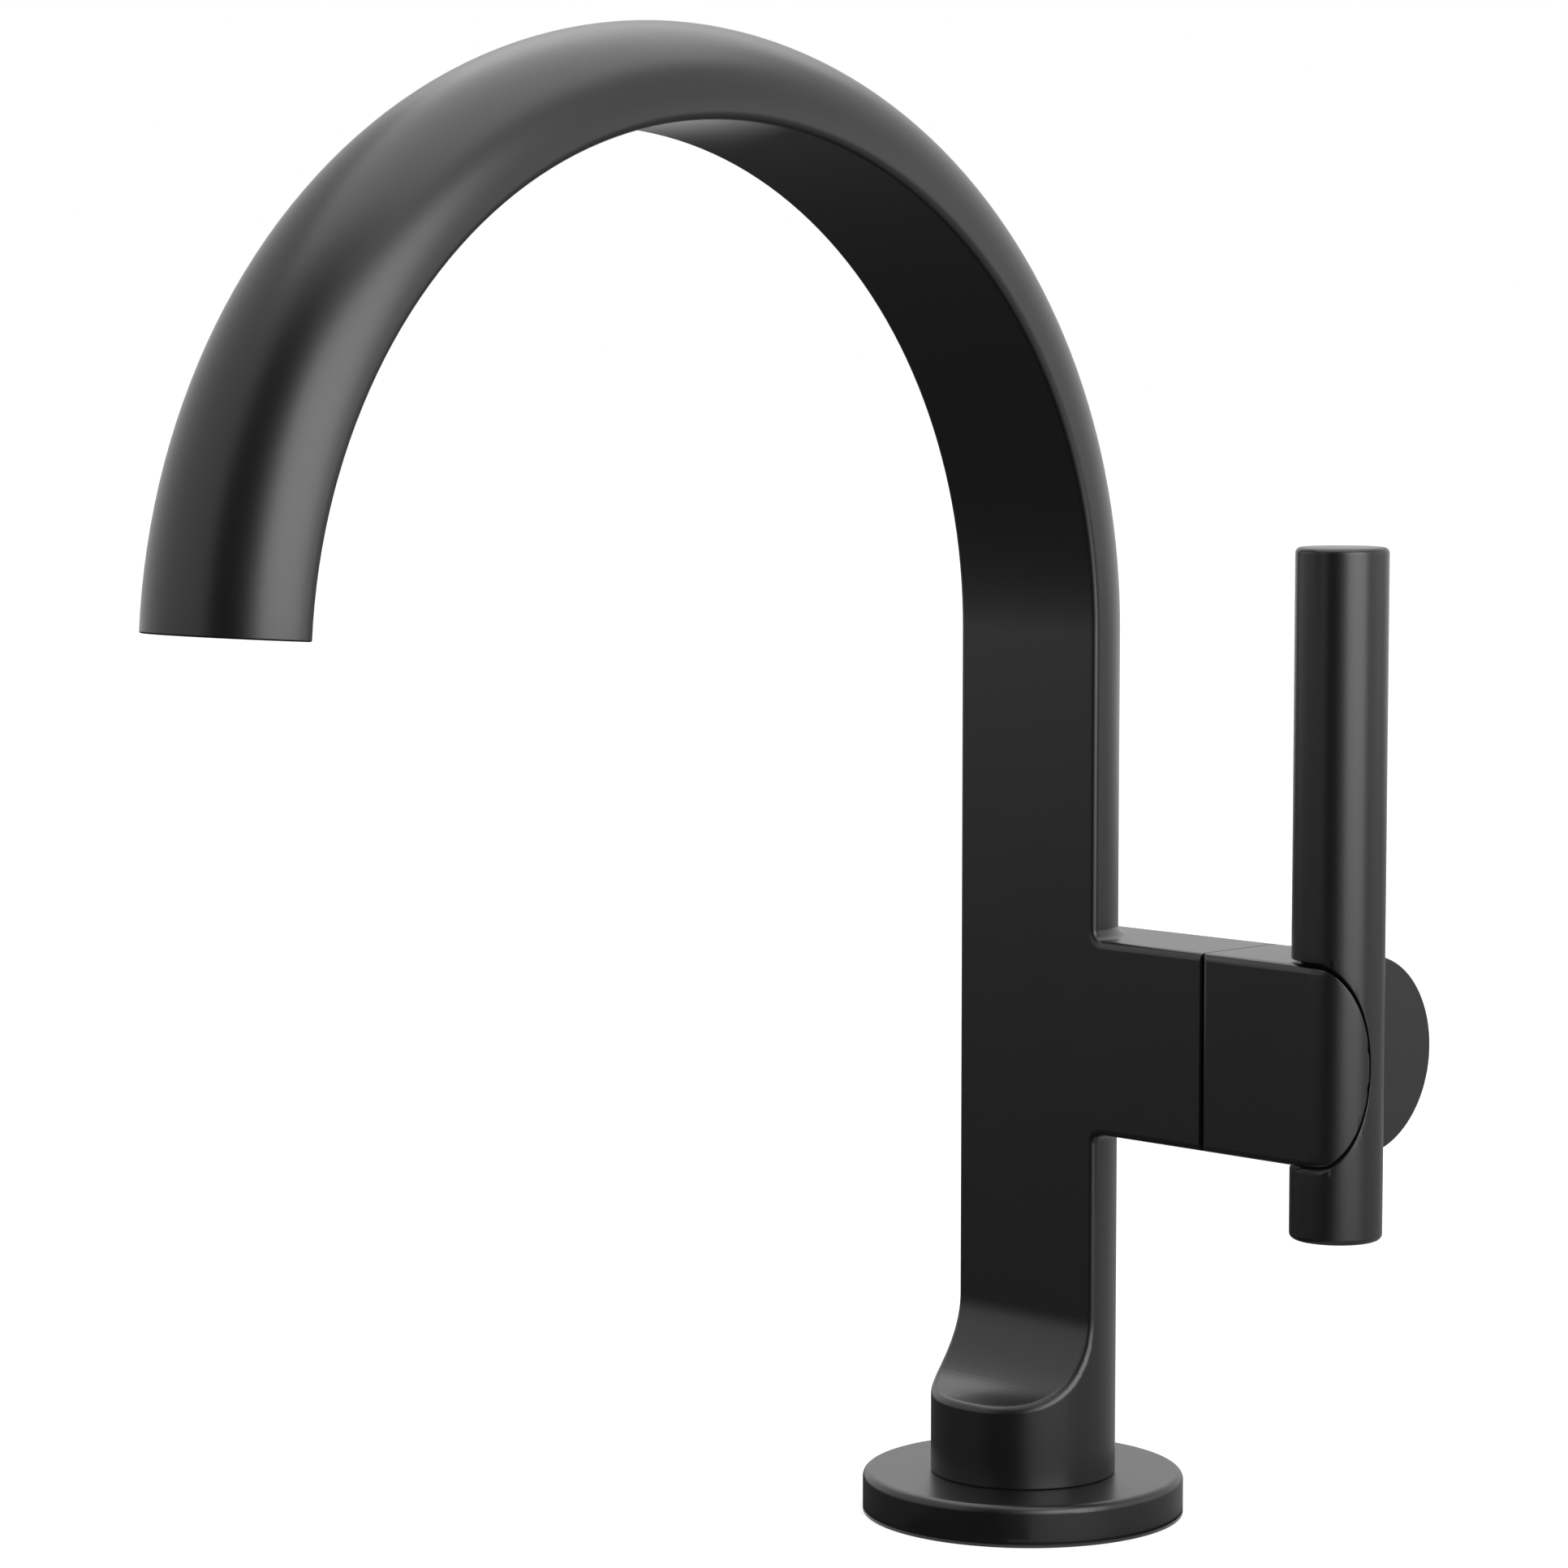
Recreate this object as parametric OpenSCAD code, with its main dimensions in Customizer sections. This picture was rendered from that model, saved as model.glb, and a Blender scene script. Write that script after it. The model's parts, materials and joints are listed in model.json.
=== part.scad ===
// Single-lever basin mixer with a gooseneck spout and an upright bar handle on a side hub.
// The origin is on the worktop under the column's axis. +Z is up, +X runs to the handle and
// the spout reaches towards the user along -Y. The column's flat front lies in the plane y = 0.

/* [Column and spout] */
// Diameter of the column's foot and of the round back of column and spout
column_d = 31.8; // [30:0.1:36]
// Height of the centre of the gooseneck's arch above the worktop
arch_z = 152; // [135:1:190]
// Radius of the arch's flat inner face
arch_r = 82.7; // [70:0.1:100]
// Turn of the arch from the column to the mouth, as an angle
arch_turn = 176.3; // [172:0.1:180]
// Rounding of the long edges between the flat front and the round back
edge_r = 1.3; // [0.8:0.1:1.8]
// Height of the scoop's floor, where the flat front runs out at the foot
scoop_z = 21.1; // [20:0.1:26]
// Radius of the scoop's concave curve
scoop_r = 14.5; // [11:0.5:15]
// Wall of the hollow casting
body_wall = 2.4; // [2:0.1:2.6]
// Length of the arch left solid at the mouth, as an angle
mouth_solid = 10; // [9:0.5:13]

/* [Side hub] */
// Height of the handle's axis above the worktop
hub_z = 83.7; // [76:0.1:100]
// Distance of the handle's axis behind the flat front
hub_y = 17.7; // [17:0.1:20]
// Height of the hub, flat in front and round at the back
hub_h = 33.1; // [32.6:0.1:36]
// Distance from the column's axis to the split between the fixed hub and the handle
hub_right = 39.6; // [39.6:0.1:46]
// Distance the hub reaches past the column's axis on the other side
hub_left = 13.4; // [10:0.1:14]
// Radius of the inner corners where the hub leaves the column
corner_r = 1.7; // [1:0.1:3]

/* [Handle] */
// Gap at the split between the fixed hub and the handle
split_gap = 0.3; // [0.3:0.05:0.6]
// Length of the handle's hub, from the split to its round end face
handle_len = 20.9; // [18:0.1:24]
// Wall of the handle's hub at its end face
end_wall = 3.2; // [2.5:0.1:4]
// Wall of the handle's hub round its hollow
skirt_wall = 2.9; // [2.2:0.1:3]
// Diameter of the bar
bar_d = 15.2; // [14:0.1:17]
// Height of the bar's top above the handle's axis
bar_up = 84.1; // [60:0.1:110]
// Depth of the bar's lower end below the handle's axis
bar_down = 28.9; // [24:0.1:40]
// Distance of the bar's axis past the hub's end face
bar_past = 2; // [1.5:0.1:3.5]
// Rounding of the bar's ends
bar_edge = 1; // [0.5:0.1:1.5]
// Height of the gap between the hub and the bar's notch
notch_gap = 0.6; // [0.4:0.1:1]
// Radius of the cheek's curved edge, seen from the side
cheek_r = 24.5; // [22:0.5:30]
// Depth of the cheek behind the flat front, on the handle's axis
cheek_deep = 6.7; // [5:0.1:7]
// Gap between the cheek and the bar, on the handle's axis
cheek_gap = 0.3; // [0.2:0.05:0.5]

/* [Base] */
// Diameter of the base flange
flange_d = 55.3; // [52:0.1:65]
// Thickness of the base flange
flange_t = 7; // [5:0.1:10]
// Rounding of the flange's upper edge
flange_edge = 1.3; // [0.5:0.1:2]
// Outer diameter of the gasket in the flange's underside
gasket_d = 51; // [46:0.5:51]
// Thickness of the gasket
gasket_t = 2; // [1.5:0.1:3]
// Depth of the fine relief round the column's foot
foot_relief = 0.3; // [0.2:0.1:0.5]

/* [Mounting below the worktop] */
// Outside diameter of the shank's thread
shank_d = 27.8; // [27.6:0.1:28]
// Length of the shank below the worktop's upper face
shank_len = 48; // [45:1:80]
// Bore of the shank
shank_bore = 23.4; // [23:0.1:24]
// Length of the shank's upper end inside the column's foot
spigot_len = 9.5; // [7:0.5:10]
// Thickness of the worktop that the tap clamps
worktop_t = 20; // [10:1:25]
// Outer diameter of the rubber washer
deck_washer_d = 50; // [44:1:60]
// Thickness of the rubber washer
deck_washer_t = 3; // [2:0.5:5]
// Outer diameter of the steel washer
clamp_washer_d = 48; // [44:1:60]
// Thickness of the steel washer
clamp_washer_t = 2; // [1.5:0.5:3]
// Width of the mounting nut across its flats
nut_flats = 36; // [34:1:41]
// Height of the mounting nut
nut_t = 8; // [6:1:10]

/* [Waterways] */
// Outside diameter of the two inlet tubes
tube_d = 6; // [5:0.1:6]
// Wall of the inlet tubes
tube_wall = 0.8; // [0.6:0.1:1]
// Distance of each inlet tube from the middle plane
tube_x = 4; // [3.6:0.1:4.4]
// Distance of the inlet tubes behind the flat front
tube_y = 6.3; // [5.8:0.1:6.8]
// Depth of the sockets that take the inlet tubes
tube_socket = 4; // [3:0.5:5]
// Outside diameter of the outlet tube
outlet_d = 8; // [7:0.1:8.4]
// Wall of the outlet tube
outlet_wall = 1; // [0.8:0.1:1.2]
// Distance of the outlet tube's middle behind the flat front
outlet_y = 7.4; // [7:0.1:8]
// Diameter of the drilled channels and of the cartridge's ports
port_d = 5; // [4:0.1:5.4]
// Thickness of the inlet block in the shank's lower end
inlet_block_t = 14; // [13:0.5:16]
// Bore of the two inlet threads, cut for M10 x 1
inlet_bore = 9; // [8.8:0.1:9.2]
// Depth of the inlet threads
inlet_deep = 9; // [8:0.5:9]
// Distance of each inlet from the middle plane
inlet_x = 5.6; // [5.4:0.1:5.8]
// Distance of the inlets behind the column's axis
inlet_y = 2.5; // [2:0.1:2.8]

/* [Aerator] */
// Diameter of the threaded bore in the spout's mouth
mouth_bore = 12.1; // [11:0.1:12.4]
// Depth of the threaded bore
mouth_deep = 8; // [7:0.1:8]
// Distance the aerator sits back from the mouth
mouth_back = 0.3; // [0.2:0.1:0.8]
// Wall of the aerator's sleeve
sleeve_wall = 1.2; // [1:0.1:1.5]
// Thickness of the washer above the aerator
aerator_seal_t = 1; // [0.8:0.1:1.5]
// Thickness of the perforated stream former
screen_t = 2.4; // [2:0.1:3]
// Diameter of each hole of the stream former
screen_hole = 0.9; // [0.8:0.1:1.2]
// Distance between the holes of the stream former
screen_pitch = 1.6; // [1.5:0.1:2.4]

/* [Cartridge] */
// Distance of the chamber's floor from the column's axis
chamber_x = 12; // [11:0.1:13]
// Outside diameter of the cartridge
cartridge_d = 25.2; // [24.8:0.1:25.4]
// Thickness of the cartridge's base plate
base_t = 3.5; // [3:0.1:4]
// Diameter of the ceramic discs
disc_d = 20; // [19:0.1:20.6]
// Thickness of each ceramic disc
disc_t = 3; // [2.5:0.1:3.5]
// Distance of the ports from the handle's axis
port_r = 6.4; // [6:0.1:6.8]
// Thickness of the carrier behind the moving disc
carrier_t = 3; // [2.5:0.1:3.5]
// Length of the cartridge housing
housing_len = 17.5; // [17:0.1:18]
// Thickness of the housing's front wall
housing_front = 6; // [5:0.1:6]
// Thickness of the O-rings
oring_d = 1.8; // [1.5:0.1:2]
// Diameter of the retaining nut's thread
ring_nut_d = 27.9; // [27.5:0.1:28]
// Bore of the retaining nut
ring_nut_bore = 16.4; // [16:0.1:18]
// Height of the retaining nut
ring_nut_t = 5.5; // [4:0.1:6]

/* [Stem] */
// Diameter of the stem in the cartridge
stem_d = 9; // [8.5:0.1:9.5]
// Diameter of the stem's end in the handle
drive_d = 8; // [7:0.1:8.4]
// Width across the two flats of the stem's end
drive_flats = 6.4; // [5.6:0.1:6.8]
// Distance the stem's end reaches past the split
drive_reach = 12.4; // [11:0.1:13]
// Travel of the handle in degrees
travel = 100; // [80:5:110]
// Width of the stem's stop lug
lug_w = 3; // [2.5:0.1:3.5]
// Distance of the lug's tip from the handle's axis
lug_r = 6.8; // [6.4:0.1:7]
// Thickness of the stop ring
stop_t = 2.6; // [2:0.1:3]

/* [Screws] */
// Diameter of the screws that hold the bar
bar_screw_d = 4; // [3:0.5:4]
// Distance of each of these screws above or below the handle's axis
bar_screw_z = 7.5; // [7:0.1:8]
// Distance of these screws behind the flat front
bar_screw_y = 10.9; // [10.5:0.1:11.2]
// Depth of these screws in the bar
bar_screw_deep = 6; // [5:0.1:7]
// Diameter of the grub screw
grub_d = 5; // [4:0.5:5]
// Length of the grub screw
grub_len = 8; // [6:1:9]
// Diameter of the cap over the grub screw
cap_d = 6; // [5.5:0.1:7]
// Thickness of that cap
cap_t = 2.2; // [2:0.1:2.5]

/* [Fits] */
// Clearance all round between pieces that turn on each other
running = 0.05; // [0.02:0.01:0.08]
// Clearance all round between pieces that are fitted together
fitted = 0.05; // [0.03:0.01:0.1]

/* [Hidden] */
$fn = 96;

// Length by which a cutting tool runs past the face it opens
past = 0.5;

// Clearance on the diameter where a piece is dropped into place
slack = 0.3;

// Finishes
matte_black = "#2a2a2b";
brass = "#b5924c";
copper = "#b87348";
steel = "#a5a8ab";
rubber = "#1c1c1c";
ceramic = "#ece7da";
white_plastic = "#d9dbdc";
grey_plastic = "#6d7073";

// Column and spout
column_r = column_d / 2;
cavity_r = column_r - body_wall;
mouth_r = arch_r + column_r / 2;
tube_end = arch_turn - mouth_solid;
scoop_top = scoop_z + scoop_r;
foot_bore_top = flange_t + spigot_len + fitted;

// Hub, and the solid core that holds the drilled channels
hub_r = hub_h / 2;
core_below = 1.3;
core_above = 0.9;
corner_sink = 0.1;
core_z = hub_z - hub_r - core_below;
core_top_z = hub_z + hub_r + core_above;
tube_top = core_z + tube_socket;
outlet_start = core_top_z - tube_socket;

// Stack along the handle's axis
chamber_d = cartridge_d + slack;
ring_bore = ring_nut_d + 2 * fitted;
fixed_disc_x = chamber_x + base_t;
moving_disc_x = fixed_disc_x + disc_t + running;
carrier_x = moving_disc_x + disc_t;
collar_x = carrier_x + carrier_t;
front_x = fixed_disc_x + housing_len;
bore_x = front_x - housing_front;
boss_t = 2;
stop_x = front_x + boss_t;
boss_d = ring_nut_bore - slack;
handle_x = hub_right + split_gap;
end_x = handle_x + handle_len;
stem_bore = stem_d + 2 * running;
drive_from_split = 2;
drive_x = handle_x + drive_from_split;
drive_end = handle_x + drive_reach;
housing_bore = disc_d + slack;

// Stem details
collar_t = 2;
collar_d = 13;
tang_l = 12;
tang_w = 3;
tang_t = 1.9;
lug_play = 0.3;
lug_t = stop_t - 2 * lug_play;
lug_clear = 0.2;
stem_groove_deep = 1.3;
stem_oring_t = 1.3;
stem_oring_play = 0.1;
stem_oring_first = 1.2;
stem_oring_step = 2.2;
stem_oring_x = [bore_x + stem_oring_first, bore_x + stem_oring_first + stem_oring_step];

// Angles of the ports round the handle's axis, from +Y towards +Z
cold_port = 210;
hot_port = 330;
outlet_port = 90;

// Grooves of the port seals, as diameters, and the middle of each seal
seal_land = 0.4;
seal_in = port_d + seal_land;
seal_out = seal_in + 2 * oring_d + seal_land;
seal_mid_r = (seal_in + seal_out) / 4;

// Stop: the lug starts at lug_start and may turn by the travel
lug_start = -travel / 2;
lug_half = asin(lug_w / 2 / (stem_d / 2 + 0.4)) + 2;

// Ring between the fixed hub and the handle
glide_in = ring_bore / 2 - 1;
glide_out = hub_r - 1.2;
glide_seat = 1;
glide_t = glide_seat + split_gap / 2;

// Bar and its notch
bar_r = bar_d / 2;
bar_x = end_x + bar_past;
bar_y = bar_r;
cheek_y = cheek_deep - cheek_r;
notch_r = cheek_r + notch_gap;
notch_y = cheek_deep + cheek_gap - notch_r;
notch_z = hub_r + notch_gap;

// Handle hub's hollow
hollow_r = hub_r - skirt_wall;
hollow_end = end_x - end_wall;
boss_r = 6.7;
boss_gap = 0.5;
post_d = grub_d + 4;
post_sink = 1;
grub_from_split = 7.5;
grub_x = handle_x + grub_from_split;
screw_head_d = 5.6;
screw_head_t = 2.4;
hex_d = 2.9;
bar_hex_deep = 1.5;
grub_hex_deep = 2.5;
cap_sink = 0.1;

// Mounting hardware
shank_r = shank_d / 2;
gasket_rim = 3;
gasket_bore = shank_d + 2 * gasket_rim;
spigot_r = cavity_r - fitted;
shank_hole = shank_d + 2 * fitted;
washer_hole = shank_d + slack;
deck_washer_z = -worktop_t - deck_washer_t;
clamp_washer_z = deck_washer_z - clamp_washer_t;
nut_z = clamp_washer_z - nut_t;

// Aerator
sleeve_d = mouth_bore - 2 * fitted;
sleeve_h = mouth_deep - mouth_back - aerator_seal_t;
sleeve_lip = 0.6;
sleeve_ledge = 0.8;
screen_rim = 1.2;
screen_d = sleeve_d - 2 * sleeve_wall - 2 * fitted;
socket_turn = 4;
mouth_feed = 4;

// Places a child drawn on the XY plane so that its own Z runs along the handle's axis
module on_axis(x) {
    translate([x, hub_y, hub_z]) rotate([90, 0, 90]) children();
}

// Places a child profile, radius along X, so that it sweeps the arch from the column
module on_arch() {
    translate([0, -arch_r, arch_z]) rotate([90, 0, 90]) children();
}

// Places a child at the middle of the mouth, so that its own Z runs up into the spout
module at_mouth() {
    on_arch() rotate(arch_turn) translate([mouth_r, 0, 0]) rotate([90, 0, 0]) children();
}

// Flat ring or washer standing on the XY plane
module ring(d, bore, h) {
    difference() {
        cylinder(d = d, h = h);
        translate([0, 0, -past]) cylinder(d = bore, h = h + 2 * past);
    }
}

// O-ring lying on the XY plane round the Z axis
module o_ring(mid_r, thick) {
    rotate_extrude() translate([mid_r, 0]) circle(d = thick);
}

// Straight drilled channel between two points
module drilled(from, to, d) {
    v = to - from;
    tip = norm(v);
    translate(from) rotate([0, acos(v.z / tip), atan2(v.y, v.x)]) cylinder(d = d, h = tip);
}

// Middle of a port on the chamber's floor
function port_at(angle) =
    [chamber_x + past, hub_y + port_r * cos(angle), hub_z + port_r * sin(angle)];

// The three ports as rods along Z, on the XY plane of the handle's axis
module port_rods(d, h) {
    for (angle = [cold_port, hot_port, outlet_port])
        rotate(angle) translate([port_r, 0, 0]) cylinder(d = d, h = h);
}

// Distance from the section's middle to the centre of its corner's rounding
function edge_middle(r, edge) = sqrt(pow(r - edge, 2) - pow(edge, 2));

// What the rounding takes off both corners of a half-round section
module edge_waste(r, edge) {
    middle = edge_middle(r, edge);
    reach = (r + past) / (r - edge);
    for (side = [-1, 1])
        difference() {
            polygon([
                [side * middle, edge],
                [side * middle, -past],
                [side * (r + past), -past],
                [side * middle * reach, edge * reach]
            ]);
            translate([side * middle, edge]) circle(r = edge);
        }
}

// Section of column and spout: flat at y = 0, round back, both long edges rounded
module half_round(r, edge) {
    difference() {
        intersection() {
            circle(r = r);
            translate([-r, 0]) square([2 * r, r]);
        }
        edge_waste(r, edge);
    }
}

// Section of the hollow behind the flat front
module hollow_section() {
    intersection() {
        circle(r = cavity_r);
        translate([-cavity_r, body_wall]) square([2 * cavity_r, cavity_r]);
    }
}

// Side view of the hub: flat front at x = 0, flat top and bottom, round back
module hub_section() {
    difference() {
        union() {
            translate([0, -hub_r]) square([hub_y, hub_h]);
            translate([hub_y, 0]) circle(r = hub_r);
        }
        for (upper = [0, 1])
            mirror([0, upper])
                difference() {
                    translate([-past, hub_r - edge_r]) square(edge_r + past);
                    translate([edge_r, hub_r - edge_r]) circle(r = edge_r);
                }
    }
}

// Length of hub between two places along X
module hub_length(from, to) {
    translate([from, 0, hub_z]) rotate([90, 0, 90]) linear_extrude(to - from) hub_section();
}

// Concave inner corner between the column's side and the hub, seen from the front
module hub_corner() {
    difference() {
        square(2 * corner_r, center = true);
        translate([corner_r, corner_r]) circle(r = corner_r);
    }
}

// Space cleared in front of the column above the foot. It is turned about the scoop's axis and
// carries the rounding of the column's long edges down both sides.
module scoop() {
    front = column_r + past;
    middle = edge_middle(column_r, edge_r);
    translate([0, -scoop_r, scoop_top]) rotate([90, 0, 90]) rotate_extrude() difference() {
        translate([0, -front]) square([scoop_r + edge_r, 2 * front]);
        translate([scoop_r, -middle]) square([edge_r + past, 2 * middle]);
        for (side = [-1, 1])
            translate([scoop_r + edge_r, side * middle]) circle(r = edge_r);
    }
}

module spout_outside() {
    translate([0, 0, flange_t])
        cylinder(r1 = column_r - foot_relief, r2 = column_r, h = foot_relief);
    difference() {
        translate([0, 0, flange_t + foot_relief])
            cylinder(r = column_r, h = scoop_top - flange_t - foot_relief);
        scoop();
    }
    translate([0, 0, scoop_top])
        linear_extrude(arch_z - scoop_top) half_round(column_r, edge_r);
    on_arch() rotate_extrude(angle = arch_turn)
        translate([arch_r, 0]) rotate(-90) half_round(column_r, edge_r);
    hub_length(-hub_left, hub_right);
    for (upper = [0, 1])
        translate([column_r - corner_sink, 0, hub_z])
            mirror([0, 0, upper])
                translate([0, edge_r + corner_r, hub_r - corner_sink])
                    rotate([90, 0, 0]) linear_extrude(corner_r) hub_corner();
}

module spout_body() {
    color(matte_black) difference() {
        spout_outside();
        // foot and hollow column, below and above the core
        translate([0, 0, flange_t - past]) cylinder(r = cavity_r, h = foot_bore_top - flange_t + past);
        translate([0, 0, foot_bore_top]) linear_extrude(core_z - foot_bore_top) hollow_section();
        translate([0, 0, core_top_z]) linear_extrude(arch_z - core_top_z) hollow_section();
        on_arch() rotate_extrude(angle = tube_end)
            translate([arch_r, 0]) rotate(-90) hollow_section();
        // sockets for the tubes
        for (side = [-1, 1])
            translate([side * tube_x, tube_y, core_z - past])
                cylinder(d = tube_d + 2 * fitted, h = tube_socket + past);
        translate([0, outlet_y, outlet_start])
            cylinder(d = outlet_d + 2 * fitted, h = tube_socket + past);
        // drilled channels to the three ports
        drilled([tube_x, tube_y, tube_top - past], port_at(cold_port), port_d);
        drilled([-tube_x, tube_y, tube_top - past], port_at(hot_port), port_d);
        drilled([0, outlet_y, outlet_start + past], port_at(outlet_port), port_d);
        // cartridge chamber, its thread and the seat of the glide ring
        on_axis(chamber_x) cylinder(d = chamber_d, h = hub_right - chamber_x);
        on_axis(front_x - past) cylinder(d = ring_bore, h = hub_right - front_x + 2 * past);
        on_axis(hub_right - glide_seat) cylinder(r = glide_out + fitted, h = glide_seat + past);
        // mouth of the spout
        on_arch() rotate(tube_end - past) rotate_extrude(angle = socket_turn + past)
            translate([arch_r + outlet_y, 0]) circle(d = outlet_d + 2 * fitted);
        at_mouth() translate([0, 0, -past]) cylinder(d = mouth_bore, h = mouth_deep + past);
        at_mouth() translate([arch_r + outlet_y - mouth_r, 0, mouth_deep - past])
            cylinder(d = port_d, h = mouth_feed);
    }
}

module base_flange() {
    color(matte_black) difference() {
        rotate_extrude() difference() {
            translate([washer_hole / 2, 0]) square([(flange_d - washer_hole) / 2, flange_t]);
            difference() {
                translate([flange_d / 2 - flange_edge, flange_t - flange_edge])
                    square(flange_edge + past);
                translate([flange_d / 2 - flange_edge, flange_t - flange_edge])
                    circle(r = flange_edge);
            }
        }
        translate([0, 0, -past]) ring(gasket_d + 2 * fitted, gasket_bore - 2 * fitted, gasket_t + past);
    }
}

module base_gasket() {
    color(rubber) ring(gasket_d, gasket_bore, gasket_t);
}

module mounting_shank() {
    color(brass) difference() {
        union() {
            translate([0, 0, -shank_len]) cylinder(r = shank_r, h = shank_len + flange_t);
            translate([0, 0, flange_t]) cylinder(r = spigot_r, h = spigot_len);
        }
        translate([0, 0, -shank_len - past])
            cylinder(d = shank_bore, h = shank_len + flange_t + spigot_len + 2 * past);
    }
}

module deck_washer() {
    color(rubber) translate([0, 0, deck_washer_z]) ring(deck_washer_d, washer_hole, deck_washer_t);
}

module clamp_washer() {
    color(steel) translate([0, 0, clamp_washer_z]) ring(clamp_washer_d, washer_hole, clamp_washer_t);
}

module mounting_nut() {
    corners = nut_flats / cos(30);
    round_t = 1;
    round_d = nut_flats + 2 * nut_t;
    color(brass) translate([0, 0, nut_z]) difference() {
        intersection() {
            cylinder(d = corners, h = nut_t, $fn = 6);
            union() {
                cylinder(d1 = nut_flats, d2 = round_d, h = nut_t - round_t);
                translate([0, 0, nut_t - round_t]) cylinder(d = round_d, h = round_t);
            }
        }
        translate([0, 0, -past]) cylinder(d = shank_hole, h = nut_t + 2 * past);
    }
}

module inlet_block() {
    bottom = -shank_len;
    joined = 1.5;
    color(brass) difference() {
        translate([0, 0, bottom]) cylinder(d = shank_bore - 2 * fitted, h = inlet_block_t);
        for (side = [-1, 1]) {
            translate([side * inlet_x, inlet_y, bottom - past])
                cylinder(d = inlet_bore, h = inlet_deep + past);
            translate([side * tube_x, tube_y, bottom + inlet_block_t - tube_socket])
                cylinder(d = tube_d + 2 * fitted, h = tube_socket + past);
            translate([side * tube_x, tube_y, bottom + inlet_deep - joined])
                cylinder(d = tube_d - 2 * tube_wall, h = inlet_block_t);
        }
    }
}

// Straight riser from the inlet block to the core of the column
module riser(x) {
    start = -shank_len + inlet_block_t - tube_socket;
    translate([x, tube_y, start]) ring(tube_d, tube_d - 2 * tube_wall, tube_top - start);
}

module cold_tube() {
    color(copper) riser(tube_x);
}

module hot_tube() {
    color(copper) riser(-tube_x);
}

module outlet_tube() {
    bore = outlet_d - 2 * outlet_wall;
    turn = tube_end + socket_turn;
    color(white_plastic) difference() {
        union() {
            translate([0, outlet_y, outlet_start]) cylinder(d = outlet_d, h = arch_z - outlet_start);
            on_arch() rotate_extrude(angle = turn)
                translate([arch_r + outlet_y, 0]) circle(d = outlet_d);
        }
        translate([0, outlet_y, outlet_start - past])
            cylinder(d = bore, h = arch_z - outlet_start + past);
        on_arch() rotate_extrude(angle = turn + past)
            translate([arch_r + outlet_y, 0]) circle(d = bore);
    }
}

module aerator_housing() {
    inner = screen_d + 2 * fitted;
    color(grey_plastic) at_mouth() translate([0, 0, mouth_back]) difference() {
        cylinder(d = sleeve_d, h = sleeve_h);
        translate([0, 0, sleeve_lip]) cylinder(d = inner, h = sleeve_h);
        translate([0, 0, -past]) cylinder(d = inner - 2 * sleeve_ledge, h = sleeve_h);
    }
}

module aerator_screen() {
    reach = screen_d / 2 - screen_rim;
    steps = floor(reach / screen_pitch);
    color(white_plastic) at_mouth() translate([0, 0, mouth_back + sleeve_lip]) difference() {
        cylinder(d = screen_d, h = screen_t);
        for (i = [-steps : steps])
            for (j = [-steps : steps])
                if (norm([i, j]) * screen_pitch <= reach)
                    translate([i * screen_pitch, j * screen_pitch, -past])
                        cylinder(d = screen_hole, h = screen_t + 2 * past);
    }
}

module aerator_seal() {
    color(rubber) at_mouth() translate([0, 0, mouth_deep - aerator_seal_t])
        ring(sleeve_d, screen_d - 2 * sleeve_ledge, aerator_seal_t);
}

module cartridge_base() {
    color(grey_plastic) on_axis(chamber_x) difference() {
        cylinder(d = cartridge_d, h = base_t);
        translate([0, 0, -past]) port_rods(port_d, base_t + 2 * past);
        for (angle = [cold_port, hot_port, outlet_port])
            rotate(angle) translate([port_r, 0, -past])
                ring(seal_out, seal_in, oring_d + past);
    }
}

module port_seals() {
    color(rubber) on_axis(chamber_x + oring_d / 2)
        for (angle = [cold_port, hot_port, outlet_port])
            rotate(angle) translate([port_r, 0, 0]) o_ring(seal_mid_r, oring_d);
}

module fixed_disc() {
    color(ceramic) on_axis(fixed_disc_x) difference() {
        cylinder(d = disc_d, h = disc_t);
        translate([0, 0, -past]) port_rods(port_d, disc_t + 2 * past);
    }
}

module moving_disc() {
    // curved pocket that joins the open ports, on the face towards the fixed disc
    pocket_lead = 35;
    pocket_turn = 200;
    pocket_from = outlet_port + pocket_lead;
    color(ceramic) on_axis(moving_disc_x) difference() {
        cylinder(d = disc_d, h = disc_t);
        translate([0, 0, -past]) rotate(pocket_from) rotate_extrude(angle = pocket_turn)
            translate([port_r - port_d / 2, 0]) square([port_d, past + disc_t / 2]);
    }
}

module disc_carrier() {
    color(grey_plastic) on_axis(carrier_x) difference() {
        cylinder(d = disc_d - slack, h = carrier_t);
        translate([-tang_l / 2 - fitted, -tang_w / 2 - fitted, carrier_t - tang_t - fitted])
            cube([tang_l + 2 * fitted, tang_w + 2 * fitted, tang_t + past]);
    }
}

module cartridge_body() {
    color(white_plastic) on_axis(fixed_disc_x) difference() {
        union() {
            cylinder(d = cartridge_d, h = housing_len);
            translate([0, 0, housing_len]) cylinder(d = boss_d, h = boss_t);
        }
        translate([0, 0, -past]) cylinder(d = housing_bore, h = housing_len - housing_front + past);
        cylinder(d = stem_bore, h = housing_len + boss_t + past);
    }
}

module stop_ring() {
    gap_from = lug_start - lug_half;
    gap_turn = travel + 2 * lug_half;
    color(grey_plastic) on_axis(stop_x) difference() {
        ring(boss_d, stem_bore + lug_clear, stop_t);
        translate([0, 0, -past]) rotate(gap_from) rotate_extrude(angle = gap_turn)
            square([lug_r + lug_clear, stop_t + 2 * past]);
    }
}

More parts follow.
